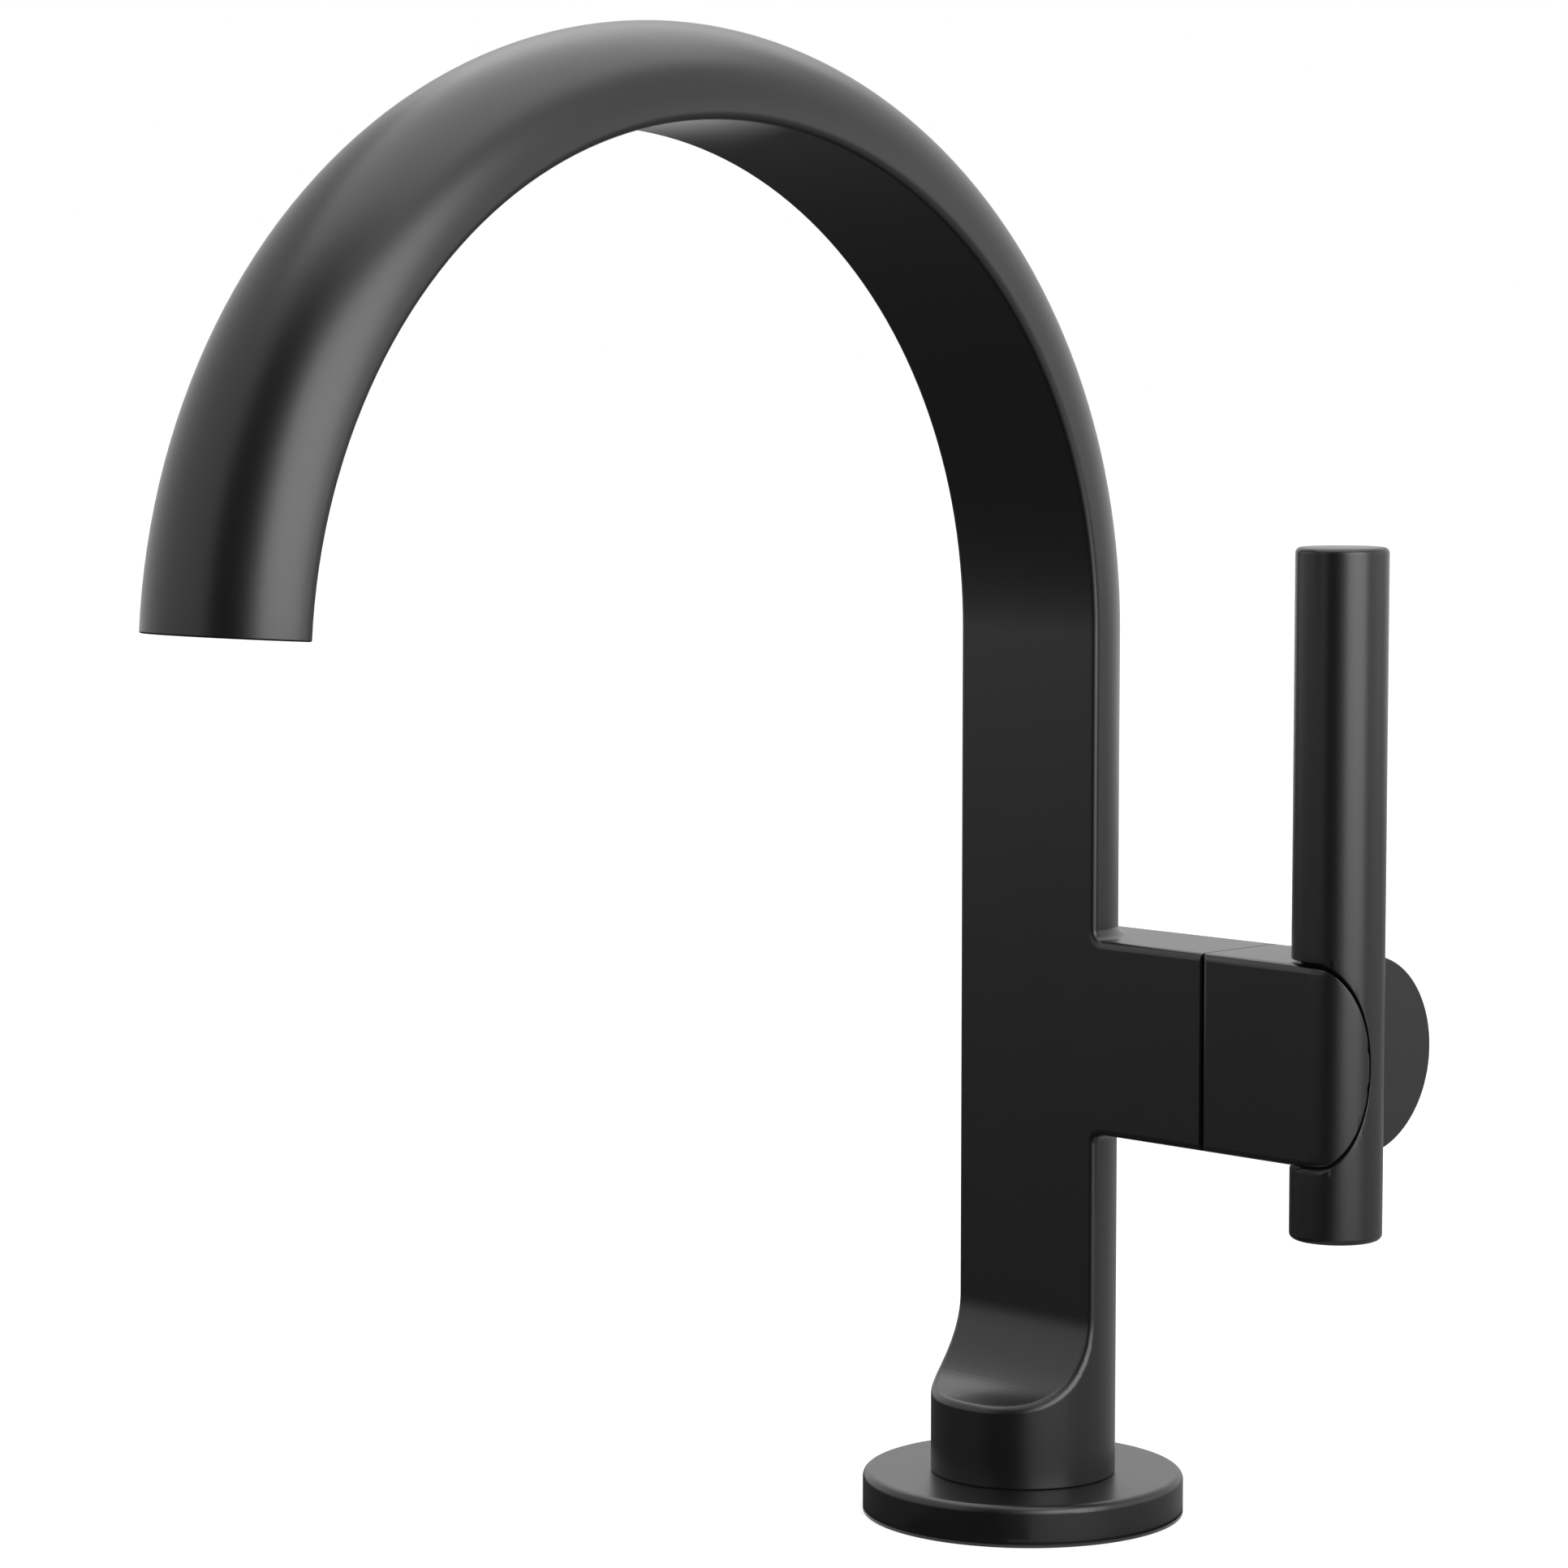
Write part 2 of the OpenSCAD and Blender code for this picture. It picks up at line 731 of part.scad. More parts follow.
module retaining_nut() {
    slot_w = 3.6;
    slot_deep = 2;
    color(brass) on_axis(front_x) difference() {
        ring(ring_nut_d, ring_nut_bore, ring_nut_t);
        for (turn = [0, 90])
            rotate(turn) translate([-ring_nut_d, -slot_w / 2, ring_nut_t - slot_deep])
                cube([2 * ring_nut_d, slot_w, slot_deep + past]);
    }
}

module glide_ring() {
    color(rubber) on_axis(hub_right - glide_seat) ring(2 * glide_out, 2 * glide_in, glide_t);
}

// Rod with two flats, facing up and down, for the stem's end and its bore
module drive_rod(d, flats, h) {
    intersection() {
        cylinder(d = d, h = h);
        translate([-d, -flats / 2, 0]) cube([2 * d, flats, h]);
    }
}

module cartridge_stem() {
    color(brass) difference() {
        union() {
            on_axis(collar_x - tang_t)
                translate([-tang_l / 2, -tang_w / 2, 0]) cube([tang_l, tang_w, tang_t]);
            on_axis(collar_x) cylinder(d = collar_d, h = collar_t);
            on_axis(collar_x + collar_t) cylinder(d = stem_d, h = drive_x - collar_x - collar_t);
            on_axis(drive_x) drive_rod(drive_d, drive_flats, drive_end - drive_x);
            on_axis(stop_x + lug_play) rotate(lug_start)
                translate([0, -lug_w / 2, 0]) cube([lug_r, lug_w, lug_t]);
        }
        for (x = stem_oring_x)
            on_axis(x)
                ring(stem_d + 2 * past, stem_d - 2 * stem_groove_deep, stem_oring_t + stem_oring_play);
    }
}

module stem_seals() {
    seal_mid = stem_d / 2 - stem_oring_t / 2 + running / 2;
    color(rubber) for (x = stem_oring_x)
        on_axis(x + (stem_oring_t + stem_oring_play) / 2) o_ring(seal_mid, stem_oring_t);
}

module cheek() {
    top_view_h = hub_h + 2 * past;
    intersection() {
        hub_length(end_x - past, bar_x + bar_r + past);
        translate([end_x - 2 * past, cheek_y, hub_z]) rotate([0, 90, 0])
            cylinder(r = cheek_r, h = bar_d + bar_past);
        translate([0, 0, hub_z - top_view_h / 2]) linear_extrude(top_view_h) {
            translate([end_x - past, 0]) square([bar_x - end_x + past, bar_y]);
            intersection() {
                translate([bar_x, bar_y]) circle(r = bar_r);
                translate([bar_x, 0]) square([bar_r, bar_y]);
            }
        }
    }
}

module handle_hub() {
    color(matte_black) difference() {
        union() {
            difference() {
                hub_length(handle_x, end_x);
                on_axis(handle_x - past) cylinder(r = hollow_r, h = hollow_end - handle_x + past);
            }
            cheek();
            on_axis(drive_x + boss_gap) cylinder(r = boss_r, h = end_x - drive_x - 2 * boss_gap);
            // post for the grub screw
            translate([grub_x, hub_y, hub_z - hub_r + post_sink])
                cylinder(d = post_d, h = hub_r - boss_r + post_sink);
        }
        on_axis(drive_x)
            drive_rod(drive_d + 2 * fitted, drive_flats + 2 * fitted, drive_end - drive_x + slack);
        translate([grub_x, hub_y, hub_z - hub_r - past]) cylinder(d = grub_d + 2 * fitted, h = hub_r);
        translate([grub_x, hub_y, hub_z - hub_r - past])
            cylinder(d = cap_d + 2 * fitted, h = cap_t + 2 * past);
        for (side = [-1, 1])
            translate([hollow_end - past, bar_screw_y, hub_z + side * bar_screw_z])
                rotate([0, 90, 0]) cylinder(d = bar_screw_d + slack, h = end_wall + 2 * past);
    }
}

module handle_bar() {
    length = bar_up + bar_down;
    color(matte_black) difference() {
        translate([bar_x, bar_y, hub_z - bar_down]) rotate_extrude() difference() {
            square([bar_r, length]);
            for (upper = [0, 1])
                translate([0, upper * length]) mirror([0, upper]) difference() {
                    translate([bar_r - bar_edge, -past]) square([bar_edge + past, bar_edge + past]);
                    translate([bar_r - bar_edge, bar_edge]) circle(r = bar_edge);
                }
        }
        // notch beside the hub, and behind the cheek
        translate([bar_x - bar_r - past, -past, hub_z - notch_z])
            cube([end_x - bar_x + bar_r + past, bar_d + 2 * past, 2 * notch_z]);
        intersection() {
            translate([end_x - past, notch_y, hub_z]) rotate([0, 90, 0])
                cylinder(r = notch_r, h = bar_d + past);
            translate([end_x - past, -past, hub_z - notch_z]) cube([bar_d + past, bar_d, 2 * notch_z]);
        }
        for (side = [-1, 1])
            translate([end_x - past, bar_screw_y, hub_z + side * bar_screw_z])
                rotate([0, 90, 0])
                    cylinder(d = bar_screw_d + 2 * fitted, h = bar_screw_deep + past + slack);
    }
}

module bar_screws() {
    color(steel) for (side = [-1, 1])
        translate([hollow_end, bar_screw_y, hub_z + side * bar_screw_z]) rotate([0, 90, 0]) {
            cylinder(d = bar_screw_d, h = end_wall + bar_screw_deep);
            translate([0, 0, -screw_head_t]) difference() {
                cylinder(d = screw_head_d, h = screw_head_t);
                translate([0, 0, -past]) cylinder(d = hex_d, h = bar_hex_deep + past, $fn = 6);
            }
        }
}

module grub_screw() {
    tip = hub_z - drive_flats / 2;
    color(steel) translate([grub_x, hub_y, tip - grub_len]) difference() {
        cylinder(d = grub_d, h = grub_len);
        translate([0, 0, -past]) cylinder(d = hex_d, h = grub_hex_deep + past, $fn = 6);
    }
}

module screw_cap() {
    color(rubber) translate([grub_x, hub_y, hub_z - hub_r + cap_sink]) cylinder(d = cap_d, h = cap_t);
}

spout_body();
base_flange();
base_gasket();
mounting_shank();
deck_washer();
clamp_washer();
mounting_nut();
inlet_block();
cold_tube();
hot_tube();
outlet_tube();
aerator_housing();
aerator_screen();
aerator_seal();
cartridge_base();
port_seals();
fixed_disc();
cartridge_body();
stop_ring();
retaining_nut();
glide_ring();
moving_disc();
disc_carrier();
cartridge_stem();
stem_seals();
handle_hub();
handle_bar();
bar_screws();
grub_screw();
screw_cap();
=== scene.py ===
"""Dresses a matte black single-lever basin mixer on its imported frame, and lights it."""

import json
import math

import bmesh
import bpy
from bpy.props import FloatProperty, FloatVectorProperty, PointerProperty
from mathutils import Matrix, Quaternion, Vector


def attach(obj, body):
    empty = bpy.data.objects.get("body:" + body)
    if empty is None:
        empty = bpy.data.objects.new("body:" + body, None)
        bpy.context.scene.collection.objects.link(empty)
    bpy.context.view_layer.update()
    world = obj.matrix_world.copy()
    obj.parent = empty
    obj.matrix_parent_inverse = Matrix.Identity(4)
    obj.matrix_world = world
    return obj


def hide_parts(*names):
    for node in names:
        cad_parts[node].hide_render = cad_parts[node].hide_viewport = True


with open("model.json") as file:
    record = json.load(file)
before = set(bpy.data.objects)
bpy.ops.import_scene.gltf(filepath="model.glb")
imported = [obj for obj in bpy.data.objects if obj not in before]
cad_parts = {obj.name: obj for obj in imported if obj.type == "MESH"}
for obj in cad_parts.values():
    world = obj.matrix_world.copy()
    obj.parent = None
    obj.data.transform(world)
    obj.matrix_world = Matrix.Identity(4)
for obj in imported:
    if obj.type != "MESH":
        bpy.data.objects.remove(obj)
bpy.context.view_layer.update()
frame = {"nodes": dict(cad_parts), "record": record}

bl_info = {
    "name": "Basin mixer dressing",
    "version": (1, 0, 0),
    "blender": (4, 5, 0),
    "location": "View3D > Sidebar > Mixer",
    "description": "Models and finishes the parts of a single-lever basin mixer",
    "category": "Object",
}

MM = 0.001
NODES = frame["nodes"]

SIDES = 96  # of a round rod, where it is given no others
NEAR = 0.02 * MM  # a coordinate closer than this counts as at a place
PAST = 1.0 * MM  # how far a cutter reaches past the face that it cuts
RING_STEP = 1.5 * MM  # between the rings that even the shading of upright faces
RIM_SNAP = 0.3 * MM  # how far a loose vertex may lie from a rim's corner
ARCH_STEP = 1.88  # degrees of the arch in one facet


def length(name, about, default):
    """A size in metres that can be set in the sidebar."""
    return FloatProperty(
        name=name, description=about, default=default, min=0.0, unit="LENGTH", precision=5
    )


def colour(name, about, default):
    """A colour that can be set in the sidebar."""
    return FloatVectorProperty(
        name=name, description=about, default=default, size=3, min=0.0, max=1.0, subtype="COLOR"
    )


def level(name, about, default, top=1.0):
    """A plain number that can be set in the sidebar."""
    return FloatProperty(name=name, description=about, default=default, min=0.0, max=top)


class MixerSizes(bpy.types.PropertyGroup):
    """Sizes of the cast body and the handle."""

    column_radius: length("Column radius", "Radius of the column's round back", 15.9 * MM)
    edge: length("Edge rounding", "Rounding along the edges of the flat front", 1.3 * MM)
    fillet: length("Fillet", "Fillet between the column and the side hub", 1.7 * MM)
    foot_z: length("Foot height", "Height of the column's foot above the worktop", 7.0 * MM)
    scoop_z: length("Scoop height", "Height of the scoop's floor", 21.1 * MM)
    scoop_radius: length("Scoop radius", "Radius of the scoop's concave curve", 14.5 * MM)
    arch_radius: length("Arch radius", "Radius of the arch's flat inner face", 82.7 * MM)
    arch_z: length("Arch height", "Height of the arch's centre", 152.0 * MM)
    arch_turn: FloatProperty(
        name="Arch turn", description="Turn of the arch from the column to the mouth",
        default=math.radians(176.3), subtype="ANGLE",
    )
    hub_z: length("Hub height", "Height of the handle's axis", 83.7 * MM)
    hub_y: length("Hub depth", "Distance of the handle's axis behind the flat front", 17.7 * MM)
    hub_radius: length("Hub radius", "Radius of the hub's round back", 16.55 * MM)
    hub_left: length("Hub's left end", "Distance of that end from the column's axis", 13.4 * MM)
    hub_right: length("Split", "Distance of the fixed hub's end from the column's axis",
                      39.6 * MM)
    split_gap: length("Split gap", "Gap between the fixed hub and the handle", 0.3 * MM)
    hub_end: length("Hub end", "Distance of the handle's round end face from the column's axis",
                    60.8 * MM)
    cheek_depth: length("Cheek depth", "Depth of the cheek in front of the bar", 6.7 * MM)
    cheek_radius: length("Cheek radius", "Radius of the cheek's curved edge", 24.5 * MM)
    bar_radius: length("Bar radius", "Radius of the bar handle", 7.6 * MM)
    bar_past: length("Bar's place", "Distance of the bar's axis past the hub's end", 2.0 * MM)
    bar_low: length("Bar foot", "Height of the bar's lower end", 54.8 * MM)
    bar_high: length("Bar top", "Height of the bar's upper end", 167.8 * MM)
    notch_gap: length("Notch gap", "Gap between the hub and the notch's ends", 0.6 * MM)
    notch_depth: length("Notch depth", "Depth of the bar's notch behind the flat front", 7.0 * MM)
    notch_radius: length("Notch radius", "Radius of the notch's curved floor", 25.87 * MM)
    notch_edge: length("Notch edges", "Rounding along the edges of the notch and the cheek",
                       0.15 * MM)
    mouth_edge: length("Mouth edges", "Rounding round the mouth, the foot and the bar's seat",
                       0.3 * MM)
    end_edge: length("End edges", "Rounding round the hub's left end and the bar's ends",
                     1.0 * MM)
    split_edge: length("Split edges", "Rounding along both sides of the split", 0.05 * MM)


class MixerInside(bpy.types.PropertyGroup):
    """Sizes of the walls, of the bores for the parts inside and of the aerator's sleeve."""

    wall: length("Wall", "Thickness of the casting's wall behind the flat front", 2.4 * MM)
    hollow_z: length("Hollow's foot", "Height of the lower end of the column's hollow", 101 * MM)
    hollow_stop: FloatProperty(
        name="Hollow's end", description="Turn of the arch that stays solid above the mouth",
        default=math.radians(10), subtype="ANGLE",
    )
    foot_radius: length("Foot bore", "Radius of the bore that takes the shank", 13.5 * MM)
    foot_top: length("Foot bore's top", "Height of that bore's upper end", 16.55 * MM)
    cartridge_radius: length("Cartridge bore", "Radius of the cartridge's bore", 12.75 * MM)
    cartridge_x: length("Cartridge bore's floor", "Place of that floor along the hub", 12 * MM)
    nut_radius: length("Ring nut bore", "Radius of the bore for the ring nut", 14.0 * MM)
    nut_x: length("Ring nut bore's floor", "Place of that floor along the hub", 33 * MM)
    mouth_radius: length("Mouth bore", "Radius of the bore for the aerator", 6.05 * MM)
    mouth_depth: length("Mouth bore's depth", "Depth of the bore for the aerator", 8 * MM)
    hub_wall: length("Handle's wall", "Wall round the hollow of the handle's hub", 2.9 * MM)
    seat_wall: length("Seat's wall", "Wall between that hollow and the bar", 3.2 * MM)
    boss_radius: length("Boss radius", "Radius of the boss that holds the stem", 6.7 * MM)
    boss_x: length("Boss's place", "Distance of the boss from the split", 2.5 * MM)
    stem_radius: length("Stem bore", "Radius of the bore for the stem", 4.05 * MM)
    stem_start: length("Stem bore's mouth", "Distance of its mouth from the split", 2 * MM)
    stem_end: length("Stem bore's floor", "Distance of its floor from the split", 12.8 * MM)
    post_radius: length("Post radius", "Radius of the post round the grub screw", 4.5 * MM)
    screw_x: length("Grub screw's place", "Distance of the grub screw from the split", 7.5 * MM)
    screw_radius: length("Grub screw bore", "Radius of the grub screw's bore", 2.55 * MM)
    cap_radius: length("Cap bore", "Radius of the bore for the screw's cap", 3.05 * MM)
    cap_depth: length("Cap bore's depth", "Depth of the bore for the screw's cap", 2.7 * MM)
    bar_screw_radius: length("Bar screw bores", "Radius of the bar's screw bores", 2.05 * MM)
    bar_screw_depth: length("Bar screw depth", "Depth of those bores in the bar", 6.3 * MM)
    bar_screw_y: length("Bar screw row", "Depth of those bores behind the flat front", 10.9 * MM)
    bar_screw_z: length("Bar screw place", "Distance of those bores from the axis", 7.5 * MM)
    sleeve_radius: length("Sleeve radius", "Radius of the aerator's sleeve", 6.0 * MM)
    sleeve_bore: length("Sleeve bore", "Radius of the bore in the sleeve", 4.8 * MM)
    sleeve_in: length("Sleeve's place", "How far the sleeve sits inside the mouth", 0.3 * MM)
    sleeve_top: length("Sleeve's top", "Distance of its upper end from the mouth", 7.0 * MM)
    lip_radius: length("Lip radius", "Radius of the opening in the sleeve's lip", 4.0 * MM)
    lip_top: length("Lip's top", "Distance of the lip's upper face from the mouth", 0.9 * MM)
    key_radius: length("Key notches", "Radius of the key notches round the sleeve", 0.45 * MM)
    sleeve_edge: length("Sleeve edges", "Rounding along the sleeve's edges", 0.12 * MM)


class MixerMounting(bpy.types.PropertyGroup):
    """Sizes of the shank, the inlets, the washers and the nut. Depths are below the worktop."""

    shank_depth: length("Shank depth", "Depth of the shank's lower end", 48 * MM)
    shank_top: length("Shank top", "Height of the shank's upper end", 16.5 * MM)
    shank_root: length("Thread root", "Radius of the shank between its threads", 13.05 * MM)
    shank_crest: length("Thread crest", "Radius over the shank's threads", 13.88 * MM)
    shank_pitch: length("Thread pitch", "Pitch of the shank's thread", 1.5 * MM)
    collar_radius: length("Collar radius", "Radius of the shank in the flange", 13.9 * MM)
    spigot_radius: length("Spigot radius", "Radius of the shank in the column", 13.45 * MM)
    shank_bore: length("Shank bore", "Radius of the shank's bore", 11.7 * MM)
    shank_edge: length("Shank chamfer", "Chamfer of the shank's lower end", 0.4 * MM)
    plug_radius: length("Plug radius", "Radius of the plug with the inlets", 11.65 * MM)
    plug_depth: length("Plug depth", "Depth of the plug's upper face", 34 * MM)
    plug_edge: length("Plug chamfer", "Chamfer of the plug's lower edges", 0.35 * MM)
    inlet_x: length("Inlet spacing", "Distance of each inlet from the middle", 5.6 * MM)
    inlet_y: length("Inlet row", "Distance of the inlets behind the flat front", 2.5 * MM)
    inlet_radius: length("Inlet bore", "Radius of an inlet's bore", 4.5 * MM)
    inlet_crest: length("Inlet thread", "Radius of an inlet's thread groove", 5.0 * MM)
    inlet_pitch: length("Inlet pitch", "Pitch of an inlet's thread", 1.0 * MM)
    inlet_length: length("Inlet length", "Length of an inlet's bore", 9 * MM)
    tube_x: length("Tube spacing", "Distance of each tube from the middle", 4 * MM)
    tube_y: length("Tube row", "Distance of the tubes behind the flat front", 6.3 * MM)
    tube_socket: length("Tube socket", "Radius of the socket for a tube", 3.05 * MM)
    tube_depth: length("Tube socket depth", "Depth of that socket's floor", 38 * MM)
    passage: length("Passage", "Radius of the passage from an inlet to a tube", 2.2 * MM)
    passage_depth: length("Passage depth", "Depth of that passage's floor", 40.5 * MM)
    worktop: length("Worktop", "Space left free for the worktop", 20 * MM)
    washer_bore: length("Washer bore", "Radius of the hole in both washers", 14.05 * MM)
    rubber_radius: length("Rubber washer", "Radius of the rubber washer", 25 * MM)
    rubber_height: length("Rubber thickness", "Thickness of the rubber washer", 3 * MM)
    rubber_edge: length("Rubber edges", "Rounding of the rubber washer", 0.4 * MM)
    steel_radius: length("Steel washer", "Radius of the steel washer", 24 * MM)
    steel_height: length("Steel thickness", "Thickness of the steel washer", 2 * MM)
    steel_edge: length("Steel edges", "Rounding of the steel washer", 0.25 * MM)
    nut_flats: length("Nut width", "Width of the nut across its flats", 36 * MM)
    nut_height: length("Nut height", "Height of the nut", 8 * MM)
    nut_bore: length("Nut bore", "Radius of the nut's hole", 13.95 * MM)
    nut_turned: length("Nut's turned radius", "Radius that the nut's corners are turned to",
                       20.9 * MM)
    nut_chamfer: length("Nut chamfer", "Chamfer round the nut's lower face", 2.6 * MM)
    nut_edge: length("Nut edges", "Rounding of the nut's edges", 0.2 * MM)


class MixerFinish(bpy.types.PropertyGroup):
    """Colours and roughness of the finishes."""

    coat: colour("Coating", "Colour of the matte black coating", (0.0052, 0.0052, 0.0055))
    coat_roughness: level("Coating roughness", "Roughness of the matte black coating", 0.32)
    brass: colour("Brass", "Colour of the bare brass", (0.71, 0.52, 0.24))
    steel: colour("Steel", "Colour of the stainless steel", (0.60, 0.61, 0.62))
    copper: colour("Copper", "Colour of the inlet tubes", (0.76, 0.38, 0.23))
    rubber: colour("Rubber", "Colour of the rubber washer and the seals", (0.022, 0.022, 0.022))
    acetal: colour("Acetal", "Colour of the glide ring and the cap", (0.02, 0.02, 0.021))
    white: colour("White plastic", "Colour of the cartridge and the tube", (0.80, 0.81, 0.80))
    grey: colour("Grey plastic", "Colour of the grey plastic parts", (0.33, 0.34, 0.35))
    ceramic: colour("Ceramic", "Colour of the ceramic discs", (0.86, 0.84, 0.78))


class MixerStudio(bpy.types.PropertyGroup):
    """Camera and light."""

    lens: FloatProperty(
        name="Focal length", description="In millimetres on a 36 mm sensor", default=108.353,
        min=10.0, max=300.0,
    )
    azimuth: FloatProperty(
        name="Camera azimuth", description="Round to the right from the front",
        default=math.radians(46.282), subtype="ANGLE",
    )
    elevation: FloatProperty(
        name="Camera elevation", description="Above the horizontal",
        default=math.radians(5.058), subtype="ANGLE",
    )
    distance: length("Camera distance", "From the camera to the point it aims at", 777.454 * MM)
    aim: FloatVectorProperty(
        name="Camera aim", description="The point the camera aims at",
        default=(-8.383 * MM, -49.075 * MM, 128.286 * MM), size=3, subtype="TRANSLATION",
        unit="LENGTH", precision=5,
    )
    strip: level("Side softbox", "Radiance of the softbox on the right", 4.2, 20.0)
    back: level("Back softbox", "Radiance of the softbox behind on the right", 0.5, 20.0)
    overhead: level("Overhead softbox", "Radiance of the softbox above", 1.65, 20.0)
    rear: level("Rear softbox", "Radiance of the softbox behind the tap", 1.1, 20.0)
    fill: level("Fill", "Level of the room's light", 0.35, 5.0)


# Selecting and joining


def clear():
    """Leaves nothing selected, in object mode."""
    if bpy.context.object and bpy.context.object.mode != "OBJECT":
        bpy.ops.object.mode_set(mode="OBJECT")
    bpy.ops.object.select_all(action="DESELECT")


def only(obj):
    """Leaves just this object selected and active, in object mode."""
    clear()
    obj.select_set(True)
    bpy.context.view_layer.objects.active = obj


def added():
    """The primitive just added, with its place in its mesh."""
    bpy.ops.object.transform_apply(location=True, rotation=True, scale=True)
    return bpy.context.object


def middle(part):
    """The middle of a face or an edge."""
    return sum((v.co for v in part.verts), Vector()) / len(part.verts)


def pick(obj, kind, test):
    """Selects, in edit mode, the vertices, edges or faces that pass the test."""
    if bpy.context.object != obj or obj.mode != "EDIT":
        only(obj)
        bpy.ops.object.mode_set(mode="EDIT")
    bpy.ops.mesh.select_mode(type=kind)
    bpy.ops.mesh.select_all(action="DESELECT")
    mesh = bmesh.from_edit_mesh(obj.data)
    parts = {"VERT": mesh.verts, "EDGE": mesh.edges, "FACE": mesh.faces}[kind]
    chosen = [part for part in parts if test(part)]
    if not chosen:
        raise RuntimeError(f"{obj.name}: nothing to select")
    for part in chosen:
        part.select_set(True)
    mesh.select_flush_mode()
    bmesh.update_edit_mesh(obj.data)


def bevel_edges(obj, test, width, segments):
    """Rounds the edges that pass the test. One segment makes a chamfer."""
    pick(obj, "EDGE", test)
    bpy.ops.mesh.bevel(
        offset=width, segments=segments, affect="EDGES", clamp_overlap=False, loop_slide=False,
    )
    bpy.ops.object.mode_set(mode="OBJECT")


def sharp(edge, angle=50.0):
    """Whether an edge is convex and sharper than the angle, in degrees."""
    return len(edge.link_faces) == 2 and edge.calc_face_angle_signed(0) > math.radians(angle)


def inner(edge):
    """Whether an edge is a concave corner sharper than 40 degrees."""
    return len(edge.link_faces) == 2 and edge.calc_face_angle_signed(0) < -math.radians(40)


def at(value, place):
    """Whether a coordinate lies at a place."""
    return abs(value - place) < NEAR


def combine(obj, tool, operation):
    """Joins a tool to the object, or cuts or crops the object with it, and uses it up."""
    only(obj)
    step = obj.modifiers.new(operation.title(), "BOOLEAN")
    step.object = tool
    step.operation = operation
    step.solver = "MANIFOLD"
    bpy.ops.object.modifier_apply(modifier=step.name)
    only(tool)
    bpy.ops.object.delete()
    only(obj)
    if not obj.data.polygons:
        raise RuntimeError(f"{obj.name}: nothing is left of it")
    return obj


def block(low, high):
    """A box between two corners."""
    low, high = Vector(low), Vector(high)
    clear()
    bpy.ops.mesh.primitive_cube_add(size=1, location=(low + high) / 2, scale=high - low)
    return added()


def rod(radius, start, end, sides=SIDES, turn=0.0):
    """A round rod from one point to another, turned about its own axis."""
    start, end = Vector(start), Vector(end)
    along = end - start
    facing = along.to_track_quat("Z", "Y") @ Quaternion((0, 0, 1), turn)
    clear()
    bpy.ops.mesh.primitive_cylinder_add(
        vertices=sides, radius=radius, depth=along.length, location=(start + end) / 2,
        rotation=facing.to_euler(),
    )
    return added()


def merge(obj, within):
    """Merges vertices that lie closer than a distance."""
    only(obj)
    bpy.ops.object.mode_set(mode="EDIT")
    bpy.ops.mesh.select_all(action="SELECT")
    bpy.ops.mesh.remove_doubles(threshold=within)
    bpy.ops.object.mode_set(mode="OBJECT")


def level_rings(obj, centre, reach, past=-math.inf):
    """Cuts the upright faces past an x at even heights, from the reach below a centre to the
    reach above it and away from the faces' ends. That evens their shading."""
    for number in range(round(2 * reach / RING_STEP) + 1):
        height = centre - reach + number * RING_STEP

        def crossed(face):
            heights = [vert.co.z - height for vert in face.verts]
            return (min(heights) < 0 < max(heights) and middle(face).x > past
                    and min(abs(each) for each in heights) > 0.8 * RING_STEP)

        pick(obj, "FACE", crossed)
        bpy.ops.mesh.bisect(plane_co=(0, 0, height), plane_no=(0, 0, 1))
    bpy.ops.object.mode_set(mode="OBJECT")


def snap_rim(obj, centre, radius):
    """Moves the loose vertices on a round face's rim onto the ends of its upright edges."""
    def upright(edge):
        start, end = (vert.co for vert in edge.verts)
        return (start - end).xy.length < 0.01 * (start - end).length

    pick(obj, "VERT", lambda vert: at((vert.co.xy - Vector(centre)).length, radius)
         and not any(upright(edge) for edge in vert.link_edges))
    bpy.ops.mesh.remove_doubles(threshold=RIM_SNAP, use_unselected=True)
    bpy.ops.object.mode_set(mode="OBJECT")


def helix(inner, outer, pitch, low, high, centre=(0, 0)):
    """A closed helical ridge round an upright axis, to add as a thread or to cut one."""
    root, crest = 0.84, 0.16  # the ridge's width in pitches, and its crest's share of that
    clear()
    bpy.ops.mesh.primitive_plane_add(
        size=1, location=((inner + outer) / 2, 0, low - pitch), rotation=(math.radians(90), 0, 0),
    )
    bpy.context.object.scale = (outer - inner, root * pitch, 1)
    ridge = added()
    pick(ridge, "VERT", lambda vert: at(vert.co.x, outer))
    bpy.ops.transform.resize(value=(1, 1, crest))
    bpy.ops.object.mode_set(mode="OBJECT")
    step = ridge.modifiers.new("Screw", "SCREW")
    step.screw_offset = pitch
    step.iterations = math.ceil((high - low) / pitch) + 2
    step.steps = step.render_steps = 64
    bpy.ops.object.modifier_apply(modifier=step.name)
    bpy.ops.object.mode_set(mode="EDIT")
    bpy.ops.mesh.select_all(action="SELECT")
    bpy.ops.mesh.fill_holes(sides=4)
    bpy.ops.mesh.normals_make_consistent(inside=False)
    bpy.ops.object.mode_set(mode="OBJECT")
    crop = block((-2 * outer, -2 * outer, low), (2 * outer, 2 * outer, high))
    combine(ridge, crop, "INTERSECT")
    bpy.ops.transform.translate(value=(*centre, 0))
    return added()


def slice_off(obj, place, normal):
    """Cuts off what lies behind a plane and closes the cut."""
    only(obj)
    bpy.ops.object.mode_set(mode="EDIT")
    bpy.ops.mesh.select_all(action="SELECT")
    bpy.ops.mesh.bisect(plane_co=place, plane_no=normal, use_fill=True, clear_inner=True)


